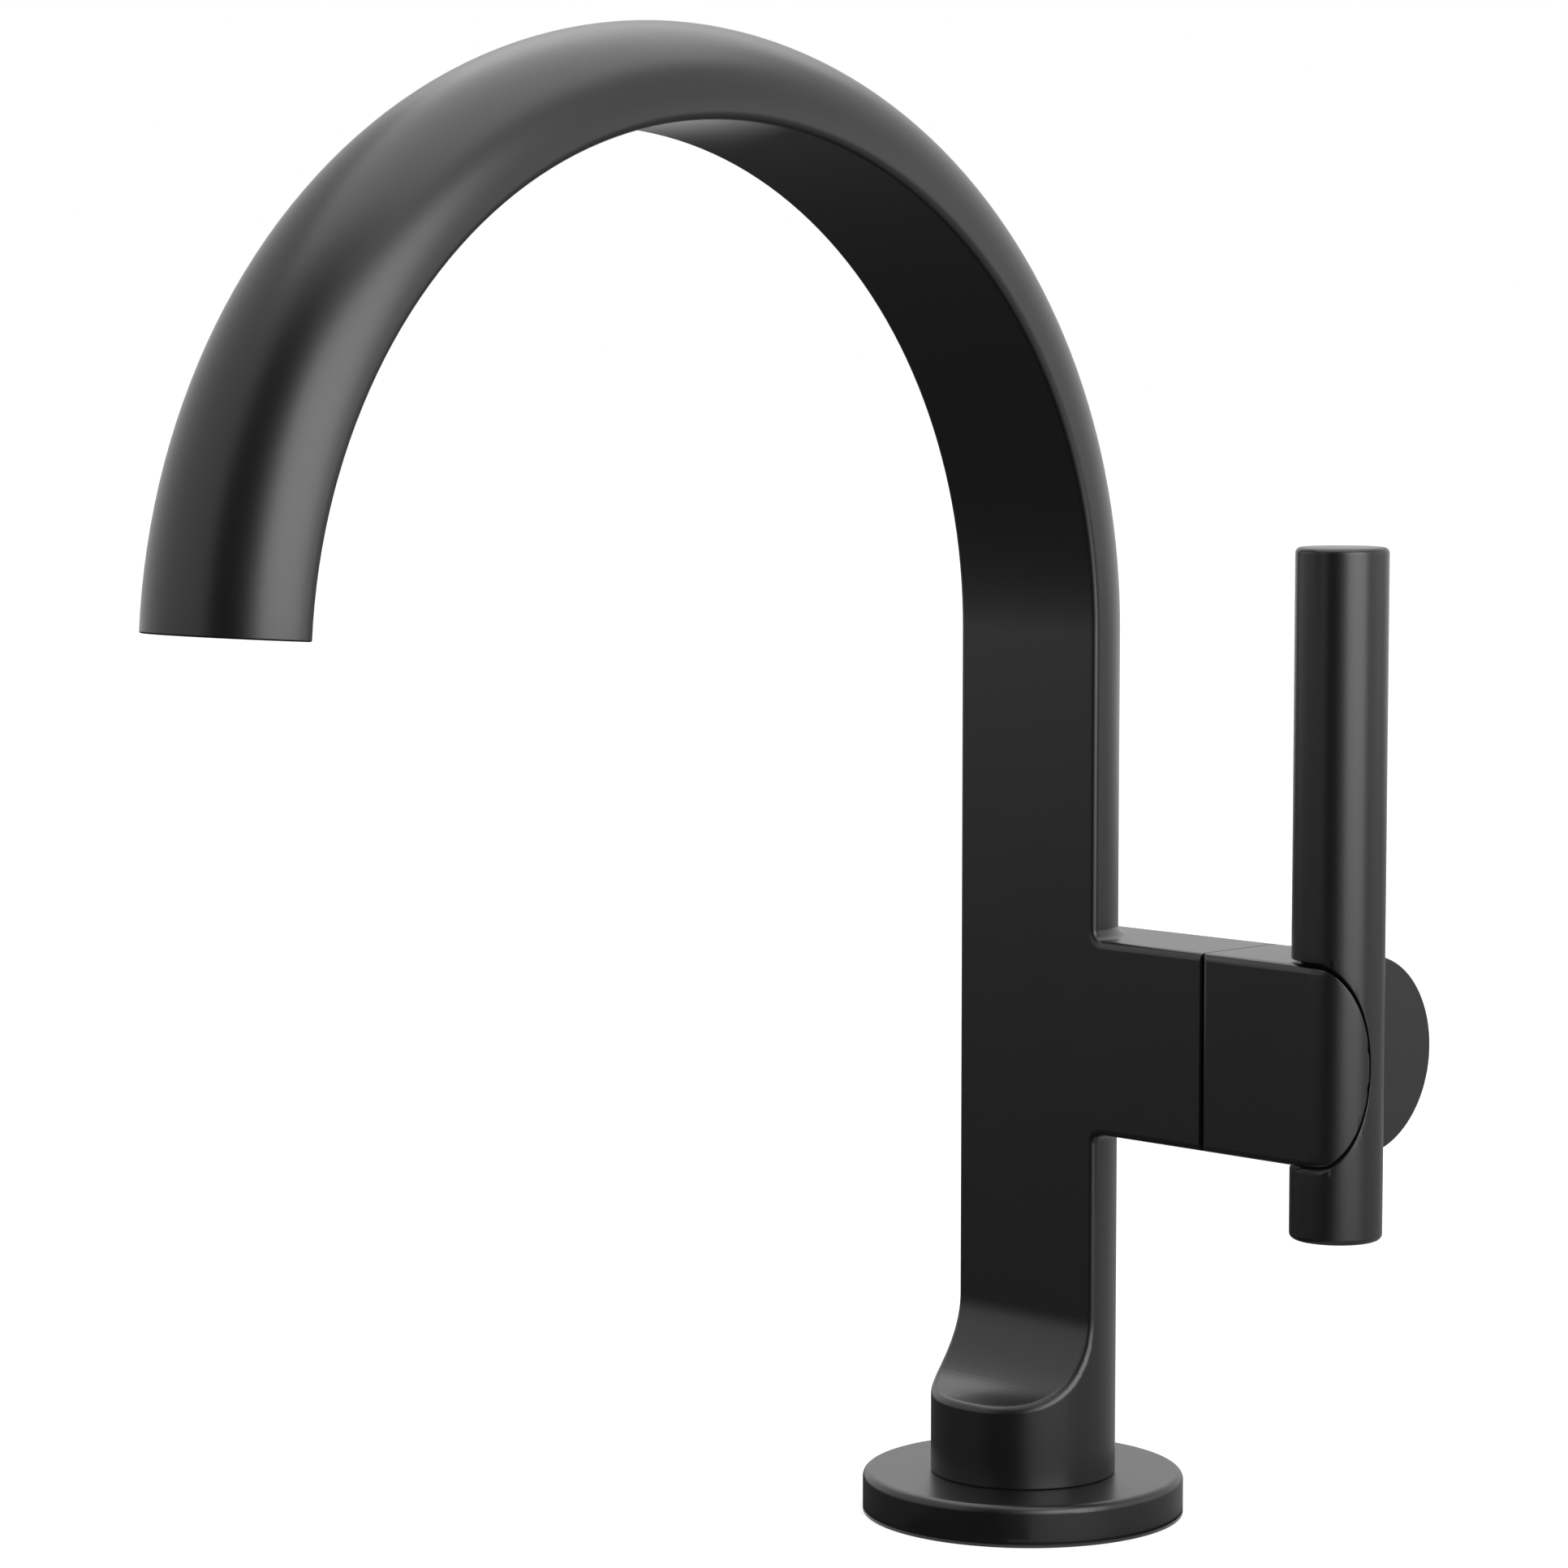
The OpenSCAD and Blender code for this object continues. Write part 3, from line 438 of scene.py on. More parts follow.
def bullet(sizes, start, end, front):
    """A bar along the handle's axis with a round back and a flat front."""
    y, z = sizes.hub_y, sizes.hub_z
    bar = rod(sizes.hub_radius, (start, y, z), (end, y, z))
    slice_off(bar, (0, y, 0), (0, 1, 0))
    pick(bar, "FACE", lambda face: face.normal.y < -0.9)
    bpy.ops.mesh.extrude_region_move(TRANSFORM_OT_translate={"value": (0, front - y, 0)})
    bpy.ops.object.mode_set(mode="OBJECT")
    return bar


def mouth_place(sizes):
    """The middle of the spout's mouth, the way out of the arch, and the way up into it."""
    outward = Vector((0, math.cos(sizes.arch_turn), math.sin(sizes.arch_turn)))
    upward = Vector((0, outward.z, -outward.y))
    centre = Vector((0, -sizes.arch_radius, sizes.arch_z))
    return centre + outward * (sizes.arch_radius + sizes.column_radius / 2), outward, upward


def dress(obj, name, body, slot, finish, *nodes):
    """Names, shades and paints a finished piece, and puts it in place of its CAD nodes."""
    only(obj)
    bpy.ops.object.mode_set(mode="EDIT")
    bpy.ops.mesh.select_all(action="SELECT")
    bpy.ops.mesh.remove_doubles(threshold=0.002 * MM)
    bpy.ops.mesh.dissolve_degenerate(threshold=0.001 * MM)
    bpy.ops.mesh.normals_make_consistent(inside=False)
    if bmesh.from_edit_mesh(obj.data).calc_volume(signed=True) < 0:
        bpy.ops.mesh.flip_normals()
    bpy.ops.object.mode_set(mode="OBJECT")
    bpy.ops.object.shade_smooth_by_angle(angle=math.radians(32))
    step = obj.modifiers.new("Weighted normals", "WEIGHTED_NORMAL")
    step.keep_sharp = True
    bpy.ops.object.modifier_apply(modifier=step.name)
    obj.name = name
    obj.data.name = name
    obj.data.materials.clear()
    obj.data.materials.append(bpy.data.materials[finish])
    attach(obj, body)
    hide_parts(*nodes)


# Shader nodes


class Signal:
    """A shader socket. Arithmetic on it adds Math nodes."""

    def __init__(self, graph, socket):
        self.graph = graph
        self.socket = socket

    def maths(self, operation, first, second):
        return self.graph.node("Math", {"operation": operation}, {0: first, 1: second})

    def __add__(self, other):
        return self.maths("ADD", self, other)

    def __radd__(self, other):
        return self.maths("ADD", other, self)

    def __mul__(self, other):
        return self.maths("MULTIPLY", self, other)

    def __rmul__(self, other):
        return self.maths("MULTIPLY", other, self)


class Graph:
    """The nodes of one material or of the world."""

    def __init__(self, owner):
        owner.use_nodes = True
        self.tree = owner.node_tree
        self.tree.nodes.clear()

    def node(self, kind, settings=None, inputs=None, output=0):
        """Adds a node with its settings, then the values or links of its sockets."""
        made = self.tree.nodes.new("ShaderNode" + kind)
        for name, value in (settings or {}).items():
            setattr(made, name, value)
        for name, value in (inputs or {}).items():
            if isinstance(value, Signal):
                self.tree.links.new(value.socket, made.inputs[name])
            else:
                made.inputs[name].default_value = value
        return Signal(self, made.outputs[output]) if made.outputs else None

    def blend(self, factor, first, second):
        """Mixes two colours."""
        settings = {"data_type": "RGBA", "clamp_factor": True}
        return self.node("Mix", settings, {0: factor, 6: first, 7: second}, output=2)

    def noise(self, stretch, scale, detail=3.0):
        """Noise on the object's own coordinates, stretched along X, Y and Z."""
        place = self.node("TexCoord", output=3)
        place = self.node("Mapping", None, {"Vector": place, "Scale": stretch})
        values = {"Vector": place, "Scale": scale, "Detail": detail, "Roughness": 0.55}
        return self.node("TexNoise", None, values)


def make_finish(name, base, roughness, scale, metallic=0.0, grain=(1, 1, 1), depth=0.01,
                strength=0.15, spread=0.05, shade=0.12):
    """A finish with a fine grain in its relief and a slow change of tone and gloss.

    The grain has a scale, a stretch along X, Y and Z, a depth in millimetres and a strength.
    The roughness changes by the spread, and the colour by the share in shade.
    """
    graph = Graph(bpy.data.materials.new(name))
    fine = graph.noise(grain, scale)
    slow = graph.noise((1, 1, 1), 70.0, detail=4.0)
    darker = (*[part * (1 - shade) for part in base], 1)
    lighter = (*[min(1.0, part * (1 + shade)) for part in base], 1)
    relief = graph.node("Bump", None, {
        "Strength": strength, "Distance": depth * MM, "Height": fine,
    })
    shader = graph.node("BsdfPrincipled", None, {
        "Base Color": graph.blend(0.5 * slow + 0.5 * fine, darker, lighter),
        "Roughness": slow * spread + fine * spread + (roughness - spread),
        "Metallic": metallic,
        "Normal": relief,
    })
    graph.node("OutputMaterial", None, {"Surface": shader})


def seen(graph):
    """1 for rays from the camera, a reflection or through glass, and 0 for all others."""
    rays = [graph.node("LightPath", output=name) for name in (
        "Is Camera Ray", "Is Glossy Ray", "Is Transmission Ray")]
    return rays[0].maths("MAXIMUM", rays[0].maths("MAXIMUM", rays[0], rays[1]), rays[2])


# Operators


class MIXER_OT_finishes(bpy.types.Operator):
    """Makes the finishes and paints the CAD nodes with them"""

    bl_idname = "mixer.finishes"
    bl_label = "Finishes"

    def execute(self, context):
        finish = context.scene.mixer_finish
        make_finish("coat", finish.coat, finish.coat_roughness, 2600, depth=0.008, strength=0.1,
                    spread=0.03, shade=0.06)
        make_finish("machined brass", finish.brass, 0.30, 900, 1.0, (0.15, 0.15, 6), strength=0.25)
        make_finish("brushed steel", finish.steel, 0.34, 700, 1.0, (5, 0.3, 5), strength=0.2)
        make_finish("drawn copper", finish.copper, 0.28, 600, 1.0, (6, 6, 0.15), strength=0.2)
        make_finish("moulded rubber", finish.rubber, 0.72, 900, depth=0.03, strength=0.3)
        make_finish("moulded acetal", finish.acetal, 0.45, 1400)
        make_finish("white plastic", finish.white, 0.42, 1100, shade=0.03)
        make_finish("grey plastic", finish.grey, 0.48, 1200, strength=0.22)
        make_finish("lapped ceramic", finish.ceramic, 0.16, 3200, depth=0.003, strength=0.1,
                    spread=0.03, shade=0.02)
        by_slot = {
            "matte_black": "coat", "brass": "machined brass", "steel": "brushed steel",
            "copper": "drawn copper", "black_rubber": "moulded rubber",
            "black_plastic": "moulded acetal", "white_plastic": "white plastic",
            "grey_plastic": "grey plastic", "ceramic": "lapped ceramic",
        }
        for part in frame["record"]["subparts"]:
            materials = NODES[part["node"]].data.materials
            for index in range(len(materials)):
                materials[index] = bpy.data.materials[by_slot[part["material_slot"]]]
        return {"FINISHED"}


class MIXER_OT_cast_body(bpy.types.Operator):
    """Models the column, the gooseneck and the fixed hub as one rounded casting"""

    bl_idname = "mixer.cast_body"
    bl_label = "Cast body"

    def column(self, sizes):
        """The round column, without facet lines close to its front edges."""
        half_step = math.pi / SIDES
        column = rod(sizes.column_radius, (0, 0, sizes.foot_z), (0, 0, sizes.arch_z),
                     turn=half_step)
        close = sizes.column_radius * half_step * 1.2
        pick(column, "EDGE", lambda edge: 0 < edge.verts[0].co.y < close
             and abs(edge.verts[0].co.z - edge.verts[1].co.z) > sizes.foot_z)
        bpy.ops.mesh.dissolve_edges(use_verts=True)
        return column

    def flat_front(self, obj, sizes):
        """Cuts the flat front and the scoop that it ends in. The block reaches past the rest."""
        cutter = block((-30 * MM, -40 * MM, sizes.scoop_z), (60 * MM, 0, 170 * MM))
        bevel_edges(cutter, lambda edge: all(
            at(v.co.y, 0) and at(v.co.z, sizes.scoop_z) for v in edge.verts),
            sizes.scoop_radius, 24)
        return combine(obj, cutter, "DIFFERENCE")

    def core(self, sizes, inside):
        """The hollow of the column and the arch."""
        radius = sizes.column_radius - inside.wall
        core = rod(radius, (0, 0, inside.hollow_z), (0, 0, sizes.arch_z), 48)
        slice_off(core, (0, inside.wall, 0), (0, 1, 0))
        self.sweep(core, sizes, sizes.arch_turn - inside.hollow_stop)
        return core

    def sweep(self, obj, sizes, turn):
        """Carries the section at the top of the column round the arch."""
        pick(obj, "FACE", lambda face: face.normal.z > 0.9 and at(middle(face).z, sizes.arch_z))
        bpy.ops.mesh.spin(steps=round(math.degrees(turn) / ARCH_STEP), angle=-turn,
                          center=(0, -sizes.arch_radius, sizes.arch_z), axis=(1, 0, 0))
        bpy.ops.object.mode_set(mode="OBJECT")

    def execute(self, context):
        sizes, inside = context.scene.mixer_sizes, context.scene.mixer_inside
        left, right = -sizes.hub_left, sizes.hub_right
        mouth, _, upward = mouth_place(sizes)

        def at_mouth(edge):
            spot = middle(edge) - mouth
            return spot.length < 2 * sizes.column_radius and at(spot.dot(upward), 0)

        ahead = -5 * MM  # the flat front cuts the hub back from here
        body = combine(self.column(sizes), bullet(sizes, left, right, ahead), "UNION")
        bevel_edges(body, inner, sizes.fillet, 6)
        self.flat_front(body, sizes)
        self.sweep(body, sizes, sizes.arch_turn)
        merge(body, 0.1 * MM)

        def rim(edge):
            spot = middle(edge)
            ends = (at(spot.z, sizes.foot_z), at(spot.x, left), at(spot.x, right), at_mouth(edge))
            return sharp(edge) and not any(ends)

        bevel_edges(body, rim, sizes.edge, 6)
        bevel_edges(body, lambda edge: sharp(edge) and at_mouth(edge), sizes.mouth_edge, 3)
        bevel_edges(body, lambda edge: sharp(edge) and at(middle(edge).x, left),
                    sizes.end_edge, 5)
        bevel_edges(body, lambda edge: sharp(edge) and at(middle(edge).x, right),
                    sizes.split_edge, 2)
        bevel_edges(body, lambda edge: sharp(edge) and at(middle(edge).z, sizes.foot_z),
                    sizes.mouth_edge, 2)

        y, z, end = sizes.hub_y, sizes.hub_z, right + PAST
        deep = mouth + upward * inside.mouth_depth
        for bore in (
            rod(inside.foot_radius, (0, 0, sizes.foot_z - PAST), (0, 0, inside.foot_top), 64),
            rod(inside.cartridge_radius, (inside.cartridge_x, y, z), (end, y, z), 64),
            rod(inside.nut_radius, (inside.nut_x, y, z), (end, y, z), 64),
            rod(inside.mouth_radius, mouth - upward * PAST, deep, 48),
            self.core(sizes, inside),
        ):
            combine(body, bore, "DIFFERENCE")
        dress(body, "cast_body", "tap", "matte_black", "coat", "spout_body")
        return {"FINISHED"}


class MIXER_OT_handle_hub(bpy.types.Operator):
    """Models the handle's hub with the cheek in front of the bar"""

    bl_idname = "mixer.handle_hub"
    bl_label = "Handle hub"

    def execute(self, context):
        sizes, inside = context.scene.mixer_sizes, context.scene.mixer_inside
        left, seat = sizes.hub_right + sizes.split_gap, sizes.hub_end
        right = seat + sizes.bar_past + sizes.bar_radius
        y, z, reach = sizes.hub_y, sizes.hub_z, sizes.hub_radius
        hub = bullet(sizes, left, right, 0)
        bevel_edges(hub, lambda edge: all(at(v.co.x, right) and at(v.co.y, 0)
                    for v in edge.verts), sizes.bar_radius, 27)
        bevel_edges(hub, lambda edge: sharp(edge) and all(
            at(abs(v.co.z - z), reach) and v.co.y < sizes.bar_radius - 0.1 * MM
            for v in edge.verts), sizes.edge, 6)

        # past the seat only a cheek is kept, which lies in a wide cylinder
        wide = 20 * MM
        cheek_y = sizes.cheek_depth - sizes.cheek_radius
        waste = block((seat, -PAST, z - wide), (right + PAST, 2 * wide, z + wide))
        cheek = rod(sizes.cheek_radius, (left, cheek_y, z), (right + 2 * PAST, cheek_y, z), 144)
        combine(waste, cheek, "DIFFERENCE")
        combine(hub, waste, "DIFFERENCE")

        # the cheek's rim, then the seat's edges behind it and those of the split
        centre = (seat + sizes.bar_past, sizes.bar_radius)
        ring_reach, rim_reach, behind = 13.5 * MM, 15 * MM, sizes.cheek_depth + 0.3 * MM
        level_rings(hub, z, ring_reach, past=centre[0])
        snap_rim(hub, centre, sizes.bar_radius)
        bevel_edges(hub, lambda edge: sharp(edge) and middle(edge).x > centre[0]
                    and abs(middle(edge).z - z) < rim_reach and middle(edge).y < behind,
                    sizes.notch_edge, 2)
        bevel_edges(hub, lambda edge: sharp(edge) and at(middle(edge).x, seat)
                    and middle(edge).y > behind, sizes.mouth_edge, 3)
        bevel_edges(hub, lambda edge: sharp(edge) and at(middle(edge).x, left),
                    sizes.split_edge, 2)

        # hollow, with the boss for the stem and the post for the grub screw left standing: the
        # post ends inside the boss, and the screw's bore inside the stem's
        low, screw_x = z - reach, left + inside.screw_x
        hollow = rod(reach - inside.hub_wall, (left - PAST, y, z),
                     (seat - inside.seat_wall, y, z), 64)
        boss = rod(inside.boss_radius, (left + inside.boss_x, y, z), (seat, y, z), 48)
        combine(hollow, boss, "DIFFERENCE")
        post = rod(inside.post_radius, (screw_x, y, low), (screw_x, y, z - 4 * MM), 32)
        combine(hollow, post, "DIFFERENCE")
        for tool in (
            hollow,
            rod(inside.screw_radius, (screw_x, y, low - PAST), (screw_x, y, z - 2 * MM), 32),
            rod(inside.cap_radius, (screw_x, y, low - PAST), (screw_x, y, low + inside.cap_depth),
                32),
            rod(inside.stem_radius, (left + inside.stem_start, y, z),
                (left + inside.stem_end, y, z), 48),
        ):
            combine(hub, tool, "DIFFERENCE")
        dress(hub, "hub_of_handle", "handle", "matte_black", "coat", "handle_hub")
        return {"FINISHED"}


class MIXER_OT_bar(bpy.types.Operator):
    """Models the round bar with its notch round the hub"""

    bl_idname = "mixer.bar"
    bl_label = "Bar handle"

    def execute(self, context):
        sizes, inside = context.scene.mixer_sizes, context.scene.mixer_inside
        seat, half = sizes.hub_end, sizes.hub_radius + sizes.notch_gap
        x, y, z = seat + sizes.bar_past, sizes.bar_radius, sizes.hub_z
        turn = math.radians(0.93)  # keeps the facets' borders clear of the notch's corners
        bar = rod(sizes.bar_radius, (x, y, sizes.bar_low), (x, y, sizes.bar_high), 128, turn)
        bevel_edges(bar, sharp, sizes.end_edge, 6)

        # a step down to the hub's end, and a curved floor that follows the cheek's edge
        wide = sizes.bar_radius + 0.4 * MM
        notch = block((x - wide, -PAST, z - half), (seat, 2 * wide, z + half))
        lens_y = sizes.notch_depth - sizes.notch_radius
        lens = rod(sizes.notch_radius, (seat - PAST, lens_y, z), (x + wide + PAST, lens_y, z), 192)
        crop = block((seat - 2 * PAST, -PAST, z - half), (x + wide + 2 * PAST, 2 * wide, z + half))
        combine(lens, crop, "INTERSECT")
        combine(notch, lens, "UNION")
        combine(bar, notch, "DIFFERENCE")
        ring_reach = 21 * MM
        level_rings(bar, z, ring_reach)
        snap_rim(bar, (x, y), sizes.bar_radius)
        bevel_edges(bar, lambda edge: sharp(edge) and abs(middle(edge).z - z) < half + 0.1 * MM
                    and not at(middle(edge).x, seat), sizes.notch_edge, 2)

        # bores for the two screws
        hole_y = inside.bar_screw_y
        for height in (z - inside.bar_screw_z, z + inside.bar_screw_z):
            hole = rod(inside.bar_screw_radius, (seat - PAST, hole_y, height),
                       (seat + inside.bar_screw_depth, hole_y, height), 32)
            combine(bar, hole, "DIFFERENCE")
        dress(bar, "bar", "handle", "matte_black", "coat", "handle_bar")
        return {"FINISHED"}


class MIXER_OT_shank(bpy.types.Operator):
    """Models the threaded shank and the block with the two threaded inlets"""

    bl_idname = "mixer.shank"
    bl_label = "Shank and inlets"

    def shank(self, mounting, foot):
        """The tube that passes the worktop, threaded over its whole free length."""
        end, top = -mounting.shank_depth, mounting.shank_top
        root = mounting.shank_root
        shank = rod(root, (0, 0, end), (0, 0, 0))
        bevel_edges(shank, lambda edge: sharp(edge) and at(middle(edge).z, end),
                    mounting.shank_edge, 1)
        for tool in (
            rod(mounting.collar_radius, (0, 0, -PAST), (0, 0, foot)),
            rod(mounting.spigot_radius, (0, 0, foot - PAST), (0, 0, top)),
            helix(root - 0.15 * MM, mounting.shank_crest, mounting.shank_pitch,
                  end + 0.6 * MM, -0.5 * MM),
        ):
            combine(shank, tool, "UNION")
        bore = rod(mounting.shank_bore, (0, 0, end - PAST), (0, 0, top + 0.5 * MM))
        combine(shank, bore, "DIFFERENCE")
        dress(shank, "threaded_shank", "tap", "brass", "machined brass", "mounting_shank")

    def inlets(self, mounting):
        """The plug in the shank's lower end, with an M10 x 1 thread in each inlet."""
        end, top = -mounting.shank_depth, -mounting.plug_depth
        x, y, radius = mounting.inlet_x, mounting.inlet_y, mounting.inlet_radius
        tube_x, tube_y = mounting.tube_x, mounting.tube_y
        plug = rod(mounting.plug_radius, (0, 0, end), (0, 0, top))
        for side in (-1, 1):
            for tool in (
                rod(radius, (side * x, y, end - PAST), (side * x, y, end + mounting.inlet_length),
                    48),
                rod(mounting.tube_socket, (side * tube_x, tube_y, -mounting.tube_depth),
                    (side * tube_x, tube_y, top + PAST), 32),
                rod(mounting.passage, (side * tube_x, tube_y, -mounting.passage_depth),
                    (side * tube_x, tube_y, top + PAST), 32),
            ):
                combine(plug, tool, "DIFFERENCE")
        bevel_edges(plug, lambda edge: sharp(edge) and at(middle(edge).z, end),
                    mounting.plug_edge, 1)
        for side in (-1, 1):
            groove = helix(radius - 0.2 * MM, mounting.inlet_crest, mounting.inlet_pitch,
                           end - 0.6 * MM, end + mounting.inlet_length - PAST, (side * x, y))
            combine(plug, groove, "DIFFERENCE")
        dress(plug, "inlet_plug", "tap", "brass", "machined brass", "inlet_block")

    def execute(self, context):
        mounting = context.scene.mixer_mounting
        self.shank(mounting, context.scene.mixer_sizes.foot_z)
        self.inlets(mounting)
        return {"FINISHED"}


class MIXER_OT_clamp(bpy.types.Operator):
    """Models the two washers and the nut that clamp the tap from below"""

    bl_idname = "mixer.clamp"
    bl_label = "Washers and nut"

    def disc(self, radius, bore, low, high):
        """A flat disc with a hole."""
        disc = rod(radius, (0, 0, low), (0, 0, high), 128)
        combine(disc, rod(bore, (0, 0, low - PAST), (0, 0, high + PAST)), "DIFFERENCE")
        return disc

    def execute(self, context):
        mounting = context.scene.mixer_mounting
        top = -mounting.worktop
        under_rubber = top - mounting.rubber_height
        under_steel = under_rubber - mounting.steel_height
        under_nut = under_steel - mounting.nut_height

        rubber = self.disc(mounting.rubber_radius, mounting.washer_bore, under_rubber, top)
        bevel_edges(rubber, sharp, mounting.rubber_edge, 2)
        dress(rubber, "rubber_washer", "tap", "black_rubber", "moulded rubber", "deck_washer")

        steel = self.disc(mounting.steel_radius, mounting.washer_bore, under_steel, under_rubber)
        bevel_edges(steel, sharp, mounting.steel_edge, 2)
        dress(steel, "steel_washer", "tap", "steel", "brushed steel", "clamp_washer")

        corner = mounting.nut_flats / 2 / math.cos(math.radians(30))
        nut = rod(corner, (0, 0, under_nut), (0, 0, under_steel), 6)
        turned = rod(mounting.nut_turned, (0, 0, under_nut), (0, 0, under_steel), 128)
        bevel_edges(turned, lambda edge: sharp(edge) and at(middle(edge).z, under_nut),
                    mounting.nut_chamfer, 1)
        combine(nut, turned, "INTERSECT")
        hole = rod(mounting.nut_bore, (0, 0, under_nut - PAST), (0, 0, under_steel + PAST))
        combine(nut, hole, "DIFFERENCE")
        bevel_edges(nut, lambda edge: sharp(edge, 25), mounting.nut_edge, 2)
        dress(nut, "hexagon_nut", "tap", "brass", "machined brass", "mounting_nut")
        return {"FINISHED"}


class MIXER_OT_aerator(bpy.types.Operator):
    """Models the aerator's sleeve with key notches round its rim"""

    bl_idname = "mixer.aerator"
    bl_label = "Aerator"

    def execute(self, context):
        inside = context.scene.mixer_inside
        mouth, outward, upward = mouth_place(context.scene.mixer_sizes)
        across = Vector((1, 0, 0))

        def along(start, end, radius):
            return rod(radius, mouth + upward * start, mouth + upward * end, 64)

        end = inside.sleeve_top + PAST
        sleeve = along(inside.sleeve_in, inside.sleeve_top, inside.sleeve_radius)
        combine(sleeve, along(-PAST, end, inside.lip_radius), "DIFFERENCE")
        combine(sleeve, along(inside.lip_top, end, inside.sleeve_bore), "DIFFERENCE")
        bevel_edges(sleeve, sharp, inside.sleeve_edge, 2)

        # notches for the key, cut through the lip from outside
        base = mouth + upward * inside.sleeve_in
        start, end = inside.sleeve_bore + 0.1 * MM, inside.sleeve_radius + 0.4 * MM
        count = 16
        for index in range(count):
            angle = math.radians(360 / count * index)
            out = across * math.cos(angle) + outward * math.sin(angle)
            notch = rod(inside.key_radius, base + out * start, base + out * end, 16)
            combine(sleeve, notch, "DIFFERENCE")
        dress(sleeve, "aerator_sleeve", "tap", "grey_plastic", "grey plastic", "aerator_housing")
        return {"FINISHED"}


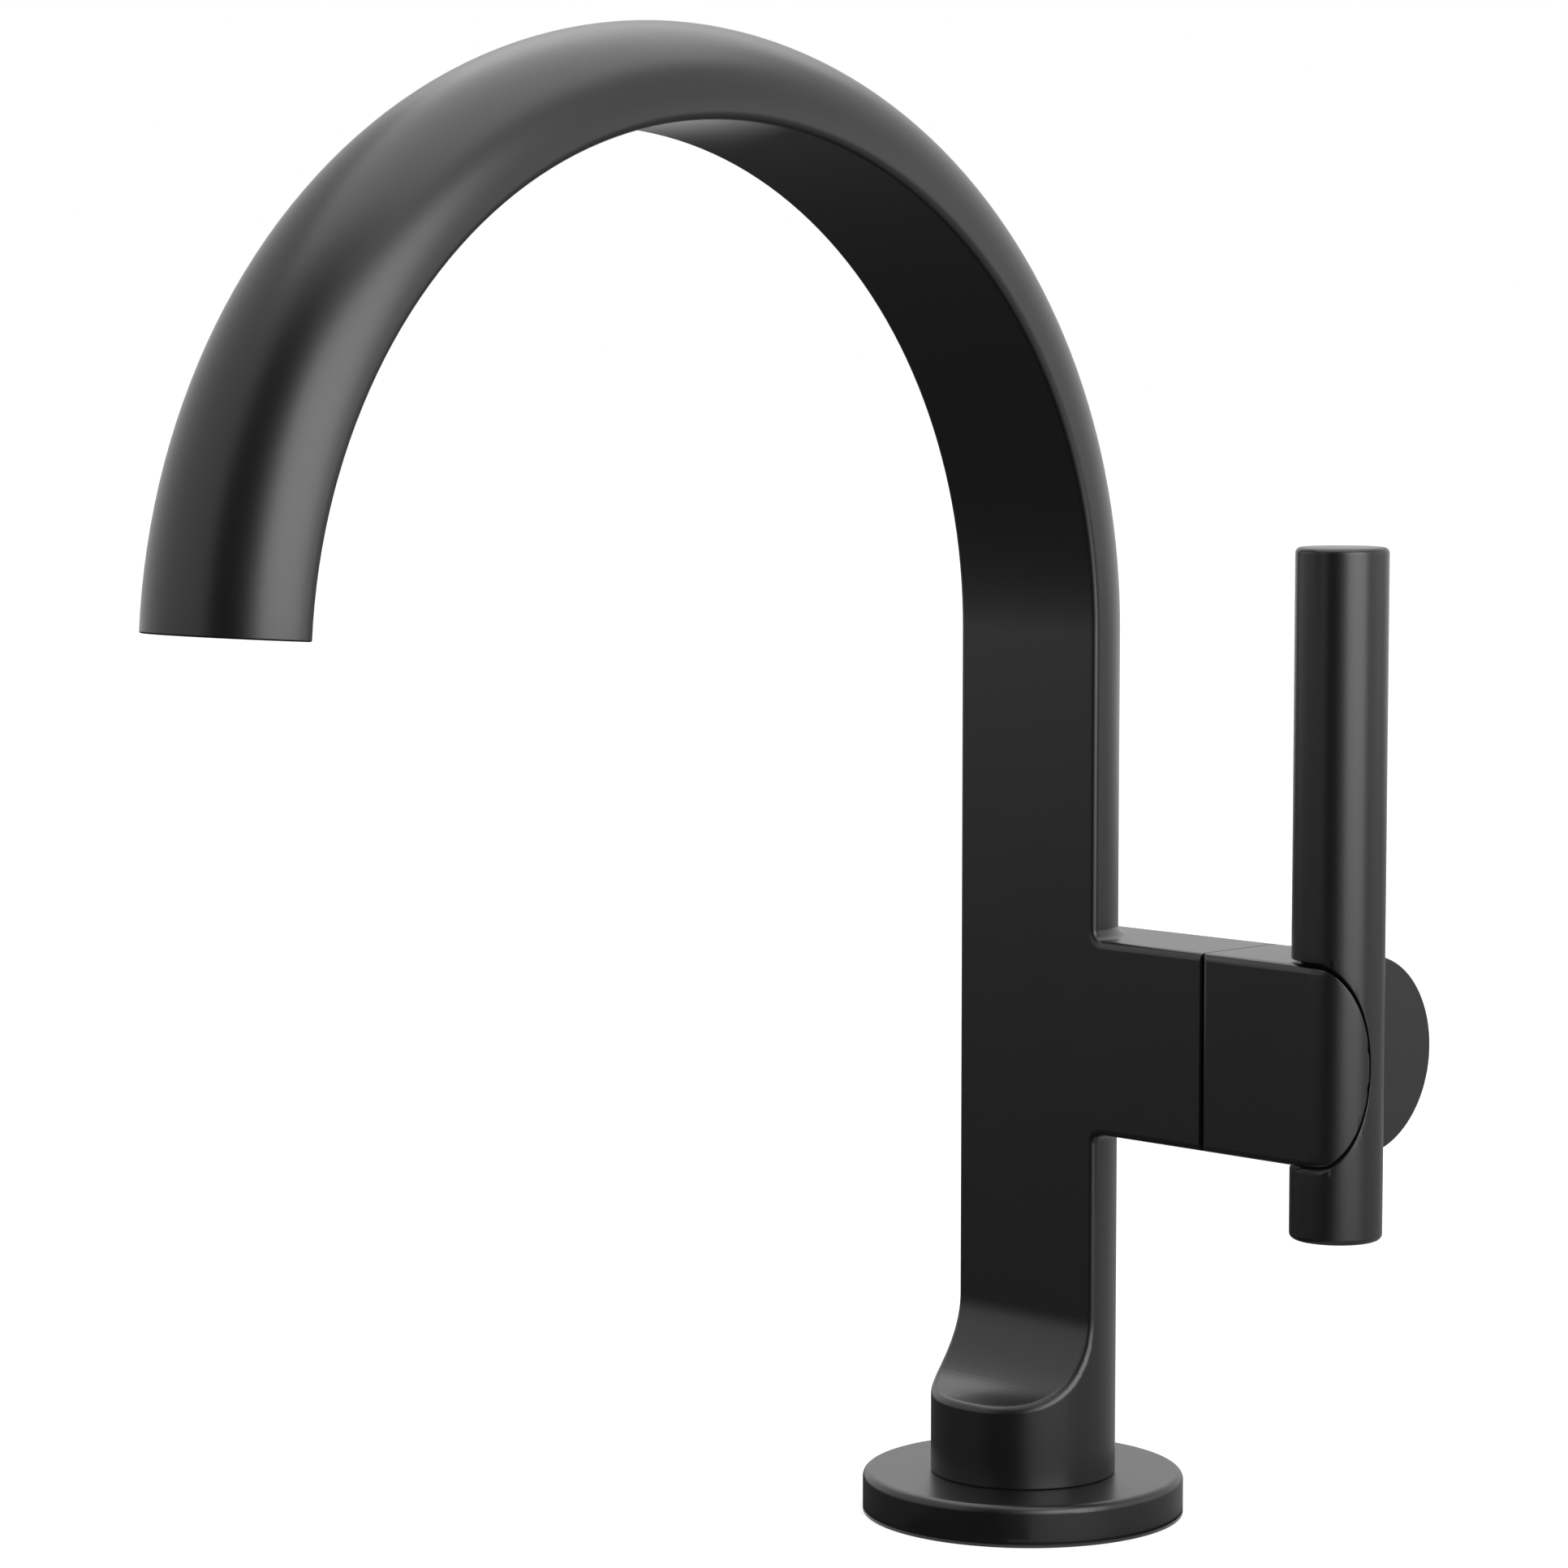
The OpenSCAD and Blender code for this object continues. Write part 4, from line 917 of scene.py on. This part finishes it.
class MIXER_OT_stage(bpy.types.Operator):
    """Sets up the camera, the floor and the light"""

    bl_idname = "mixer.stage"
    bl_label = "Stage"

    def softbox(self, name, place, aim, size, radiance):
        """A rectangular softbox that faces a point."""
        data = bpy.data.lights.new(name, "AREA")
        data.shape = "RECTANGLE"
        data.size, data.size_y = size
        data.energy = radiance * math.pi * size[0] * size[1]
        lamp = bpy.data.objects.new(name, data)
        lamp.location = place
        lamp.rotation_euler = (Vector(aim) - Vector(place)).to_track_quat("-Z", "Y").to_euler()
        bpy.context.scene.collection.objects.link(lamp)

    def card(self, name, place, tilt, turn, size, tone, corners=4):
        """A card that only reflections see. The tilt and the turn are in degrees."""
        clear()
        facing = (math.radians(tilt), 0, math.radians(turn))
        if corners == 3:
            bpy.ops.mesh.primitive_circle_add(vertices=3, radius=0.5, fill_type="NGON",
                                              location=place, rotation=facing)
        else:
            bpy.ops.mesh.primitive_plane_add(size=1, location=place, rotation=facing)
        card = bpy.context.object
        card.scale = (*size, 1)
        added()
        card.name = name
        graph = Graph(bpy.data.materials.new(name))
        shader = graph.node("BsdfDiffuse", None, {"Color": (tone, tone, tone, 1)})
        graph.node("OutputMaterial", None, {"Surface": shader})
        card.data.materials.append(bpy.data.materials[name])
        card.visible_camera = card.visible_diffuse = card.visible_shadow = False
        card.visible_transmission = card.visible_volume_scatter = False

    def execute(self, context):
        scene = context.scene
        studio = scene.mixer_studio
        scene.view_settings.view_transform = "Standard"

        # camera
        turn, rise = studio.azimuth, studio.elevation
        forward = Vector((-math.sin(turn) * math.cos(rise), math.cos(turn) * math.cos(rise),
                          -math.sin(rise)))
        right = Vector((math.cos(turn), math.sin(turn), 0))
        upward = right.cross(forward)
        data = bpy.data.cameras.new("Camera")
        data.lens = studio.lens
        data.sensor_width = 36.0
        data.clip_start = 0.01
        camera = bpy.data.objects.new("Camera", data)
        axes = Matrix((right, upward, -forward)).transposed().to_4x4()
        place = Vector(studio.aim) - forward * studio.distance
        camera.matrix_world = Matrix.Translation(place) @ axes
        scene.collection.objects.link(camera)
        scene.camera = camera

        # floor, which the camera sees pale near the tap and white further away
        clear()
        bpy.ops.mesh.primitive_plane_add(size=12, location=(0, 0, -0.05 * MM))
        floor = bpy.context.object
        floor.name = "floor"
        graph = Graph(bpy.data.materials.new("pale floor"))
        place = graph.node("TexCoord", output=3)
        away = graph.node("VectorMath", {"operation": "LENGTH"}, {0: place}, output=1)
        far = graph.node("Mix", {"data_type": "FLOAT"}, {0: away * 1.4, 2: 0.78, 3: 1.0})
        glow = graph.node("Emission", None, {"Color": graph.blend(far, (0, 0, 0, 1), (1, 1, 1, 1))})
        matt = graph.node("BsdfDiffuse", None, {"Color": (0.35, 0.35, 0.35, 1)})
        both = graph.node("AddShader", None, {0: matt, 1: glow})
        graph.node("OutputMaterial", None, {
            "Surface": graph.node("MixShader", None, {0: seen(graph), 1: matt, 2: both}),
        })
        floor.data.materials.append(bpy.data.materials["pale floor"])

        # room
        if scene.world is None:
            scene.world = bpy.data.worlds.new("Room")
        graph = Graph(scene.world)
        dim = graph.node("Background", None, {"Strength": studio.fill})
        white = graph.node("Background", None, {"Strength": 1.0})
        for node in graph.tree.nodes:
            node.inputs[0].default_value = (1, 1, 1, 1)
        graph.node("OutputWorld", None, {
            "Surface": graph.node("MixShader", None, {0: seen(graph), 1: dim, 2: white}),
        })

        # lamps and flags
        self.softbox("side softbox", (1.0, -0.25, 0.50), (0, -0.25, 0.50), (0.90, 1.0),
                     studio.strip)
        self.softbox("back softbox", (0.55, 0.50, 0.25), (0.05, 0.0, 0.25), (0.45, 0.5),
                     studio.back)
        self.softbox("overhead softbox", (-0.05, 0.05, 1.15), (0, -0.05, 0.1), (1.25, 1.25),
                     studio.overhead)
        self.softbox("rear softbox", (-0.75, 0.75, 1.15), (0, -0.05, 0.2), (1.2, 0.6),
                     studio.rear)
        self.card("front flag", (0.31, -0.70, 0.50), 90, 25, (0.50, 1.2), 0.0)
        self.card("left floor card", (-0.97, -0.70, 0.0005), 0, 0, (2.06, 2.60), 0.10)
        self.card("right floor card", (1.034, 0.301, 0.001), 0, 38, (2.0, 3.2), 0.45)
        self.card("dark wedge", (0.187, -0.464, 0.0015), 0, 22, (0.81, 1.0), 0.0, corners=3)
        return {"FINISHED"}


class MIXER_PT_sidebar(bpy.types.Panel):
    """Lists the sizes, the finishes and the pieces"""

    bl_label = "Basin mixer"
    bl_idname = "MIXER_PT_sidebar"
    bl_space_type = "VIEW_3D"
    bl_region_type = "UI"
    bl_category = "Mixer"

    def draw(self, context):
        for group in GROUPS:
            values = getattr(context.scene, group)
            box = self.layout.box()
            for name in values.__annotations__:
                box.prop(values, name)
        for operator in OPERATORS:
            self.layout.operator(operator.bl_idname)


OPERATORS = (
    MIXER_OT_finishes, MIXER_OT_cast_body, MIXER_OT_handle_hub, MIXER_OT_bar,
    MIXER_OT_shank, MIXER_OT_clamp, MIXER_OT_aerator, MIXER_OT_stage,
)
GROUPS = {
    "mixer_sizes": MixerSizes, "mixer_inside": MixerInside, "mixer_mounting": MixerMounting,
    "mixer_finish": MixerFinish, "mixer_studio": MixerStudio,
}
CLASSES = (*GROUPS.values(), *OPERATORS, MIXER_PT_sidebar)


def register():
    for each in CLASSES:
        bpy.utils.register_class(each)
    for name, group in GROUPS.items():
        setattr(bpy.types.Scene, name, PointerProperty(type=group))


def unregister():
    for name in GROUPS:
        delattr(bpy.types.Scene, name)
    for each in reversed(CLASSES):
        bpy.utils.unregister_class(each)


def main():
    register()
    for operator in OPERATORS:
        group, name = operator.bl_idname.split(".")
        getattr(getattr(bpy.ops, group), name)()


if __name__ == "__main__":
    main()
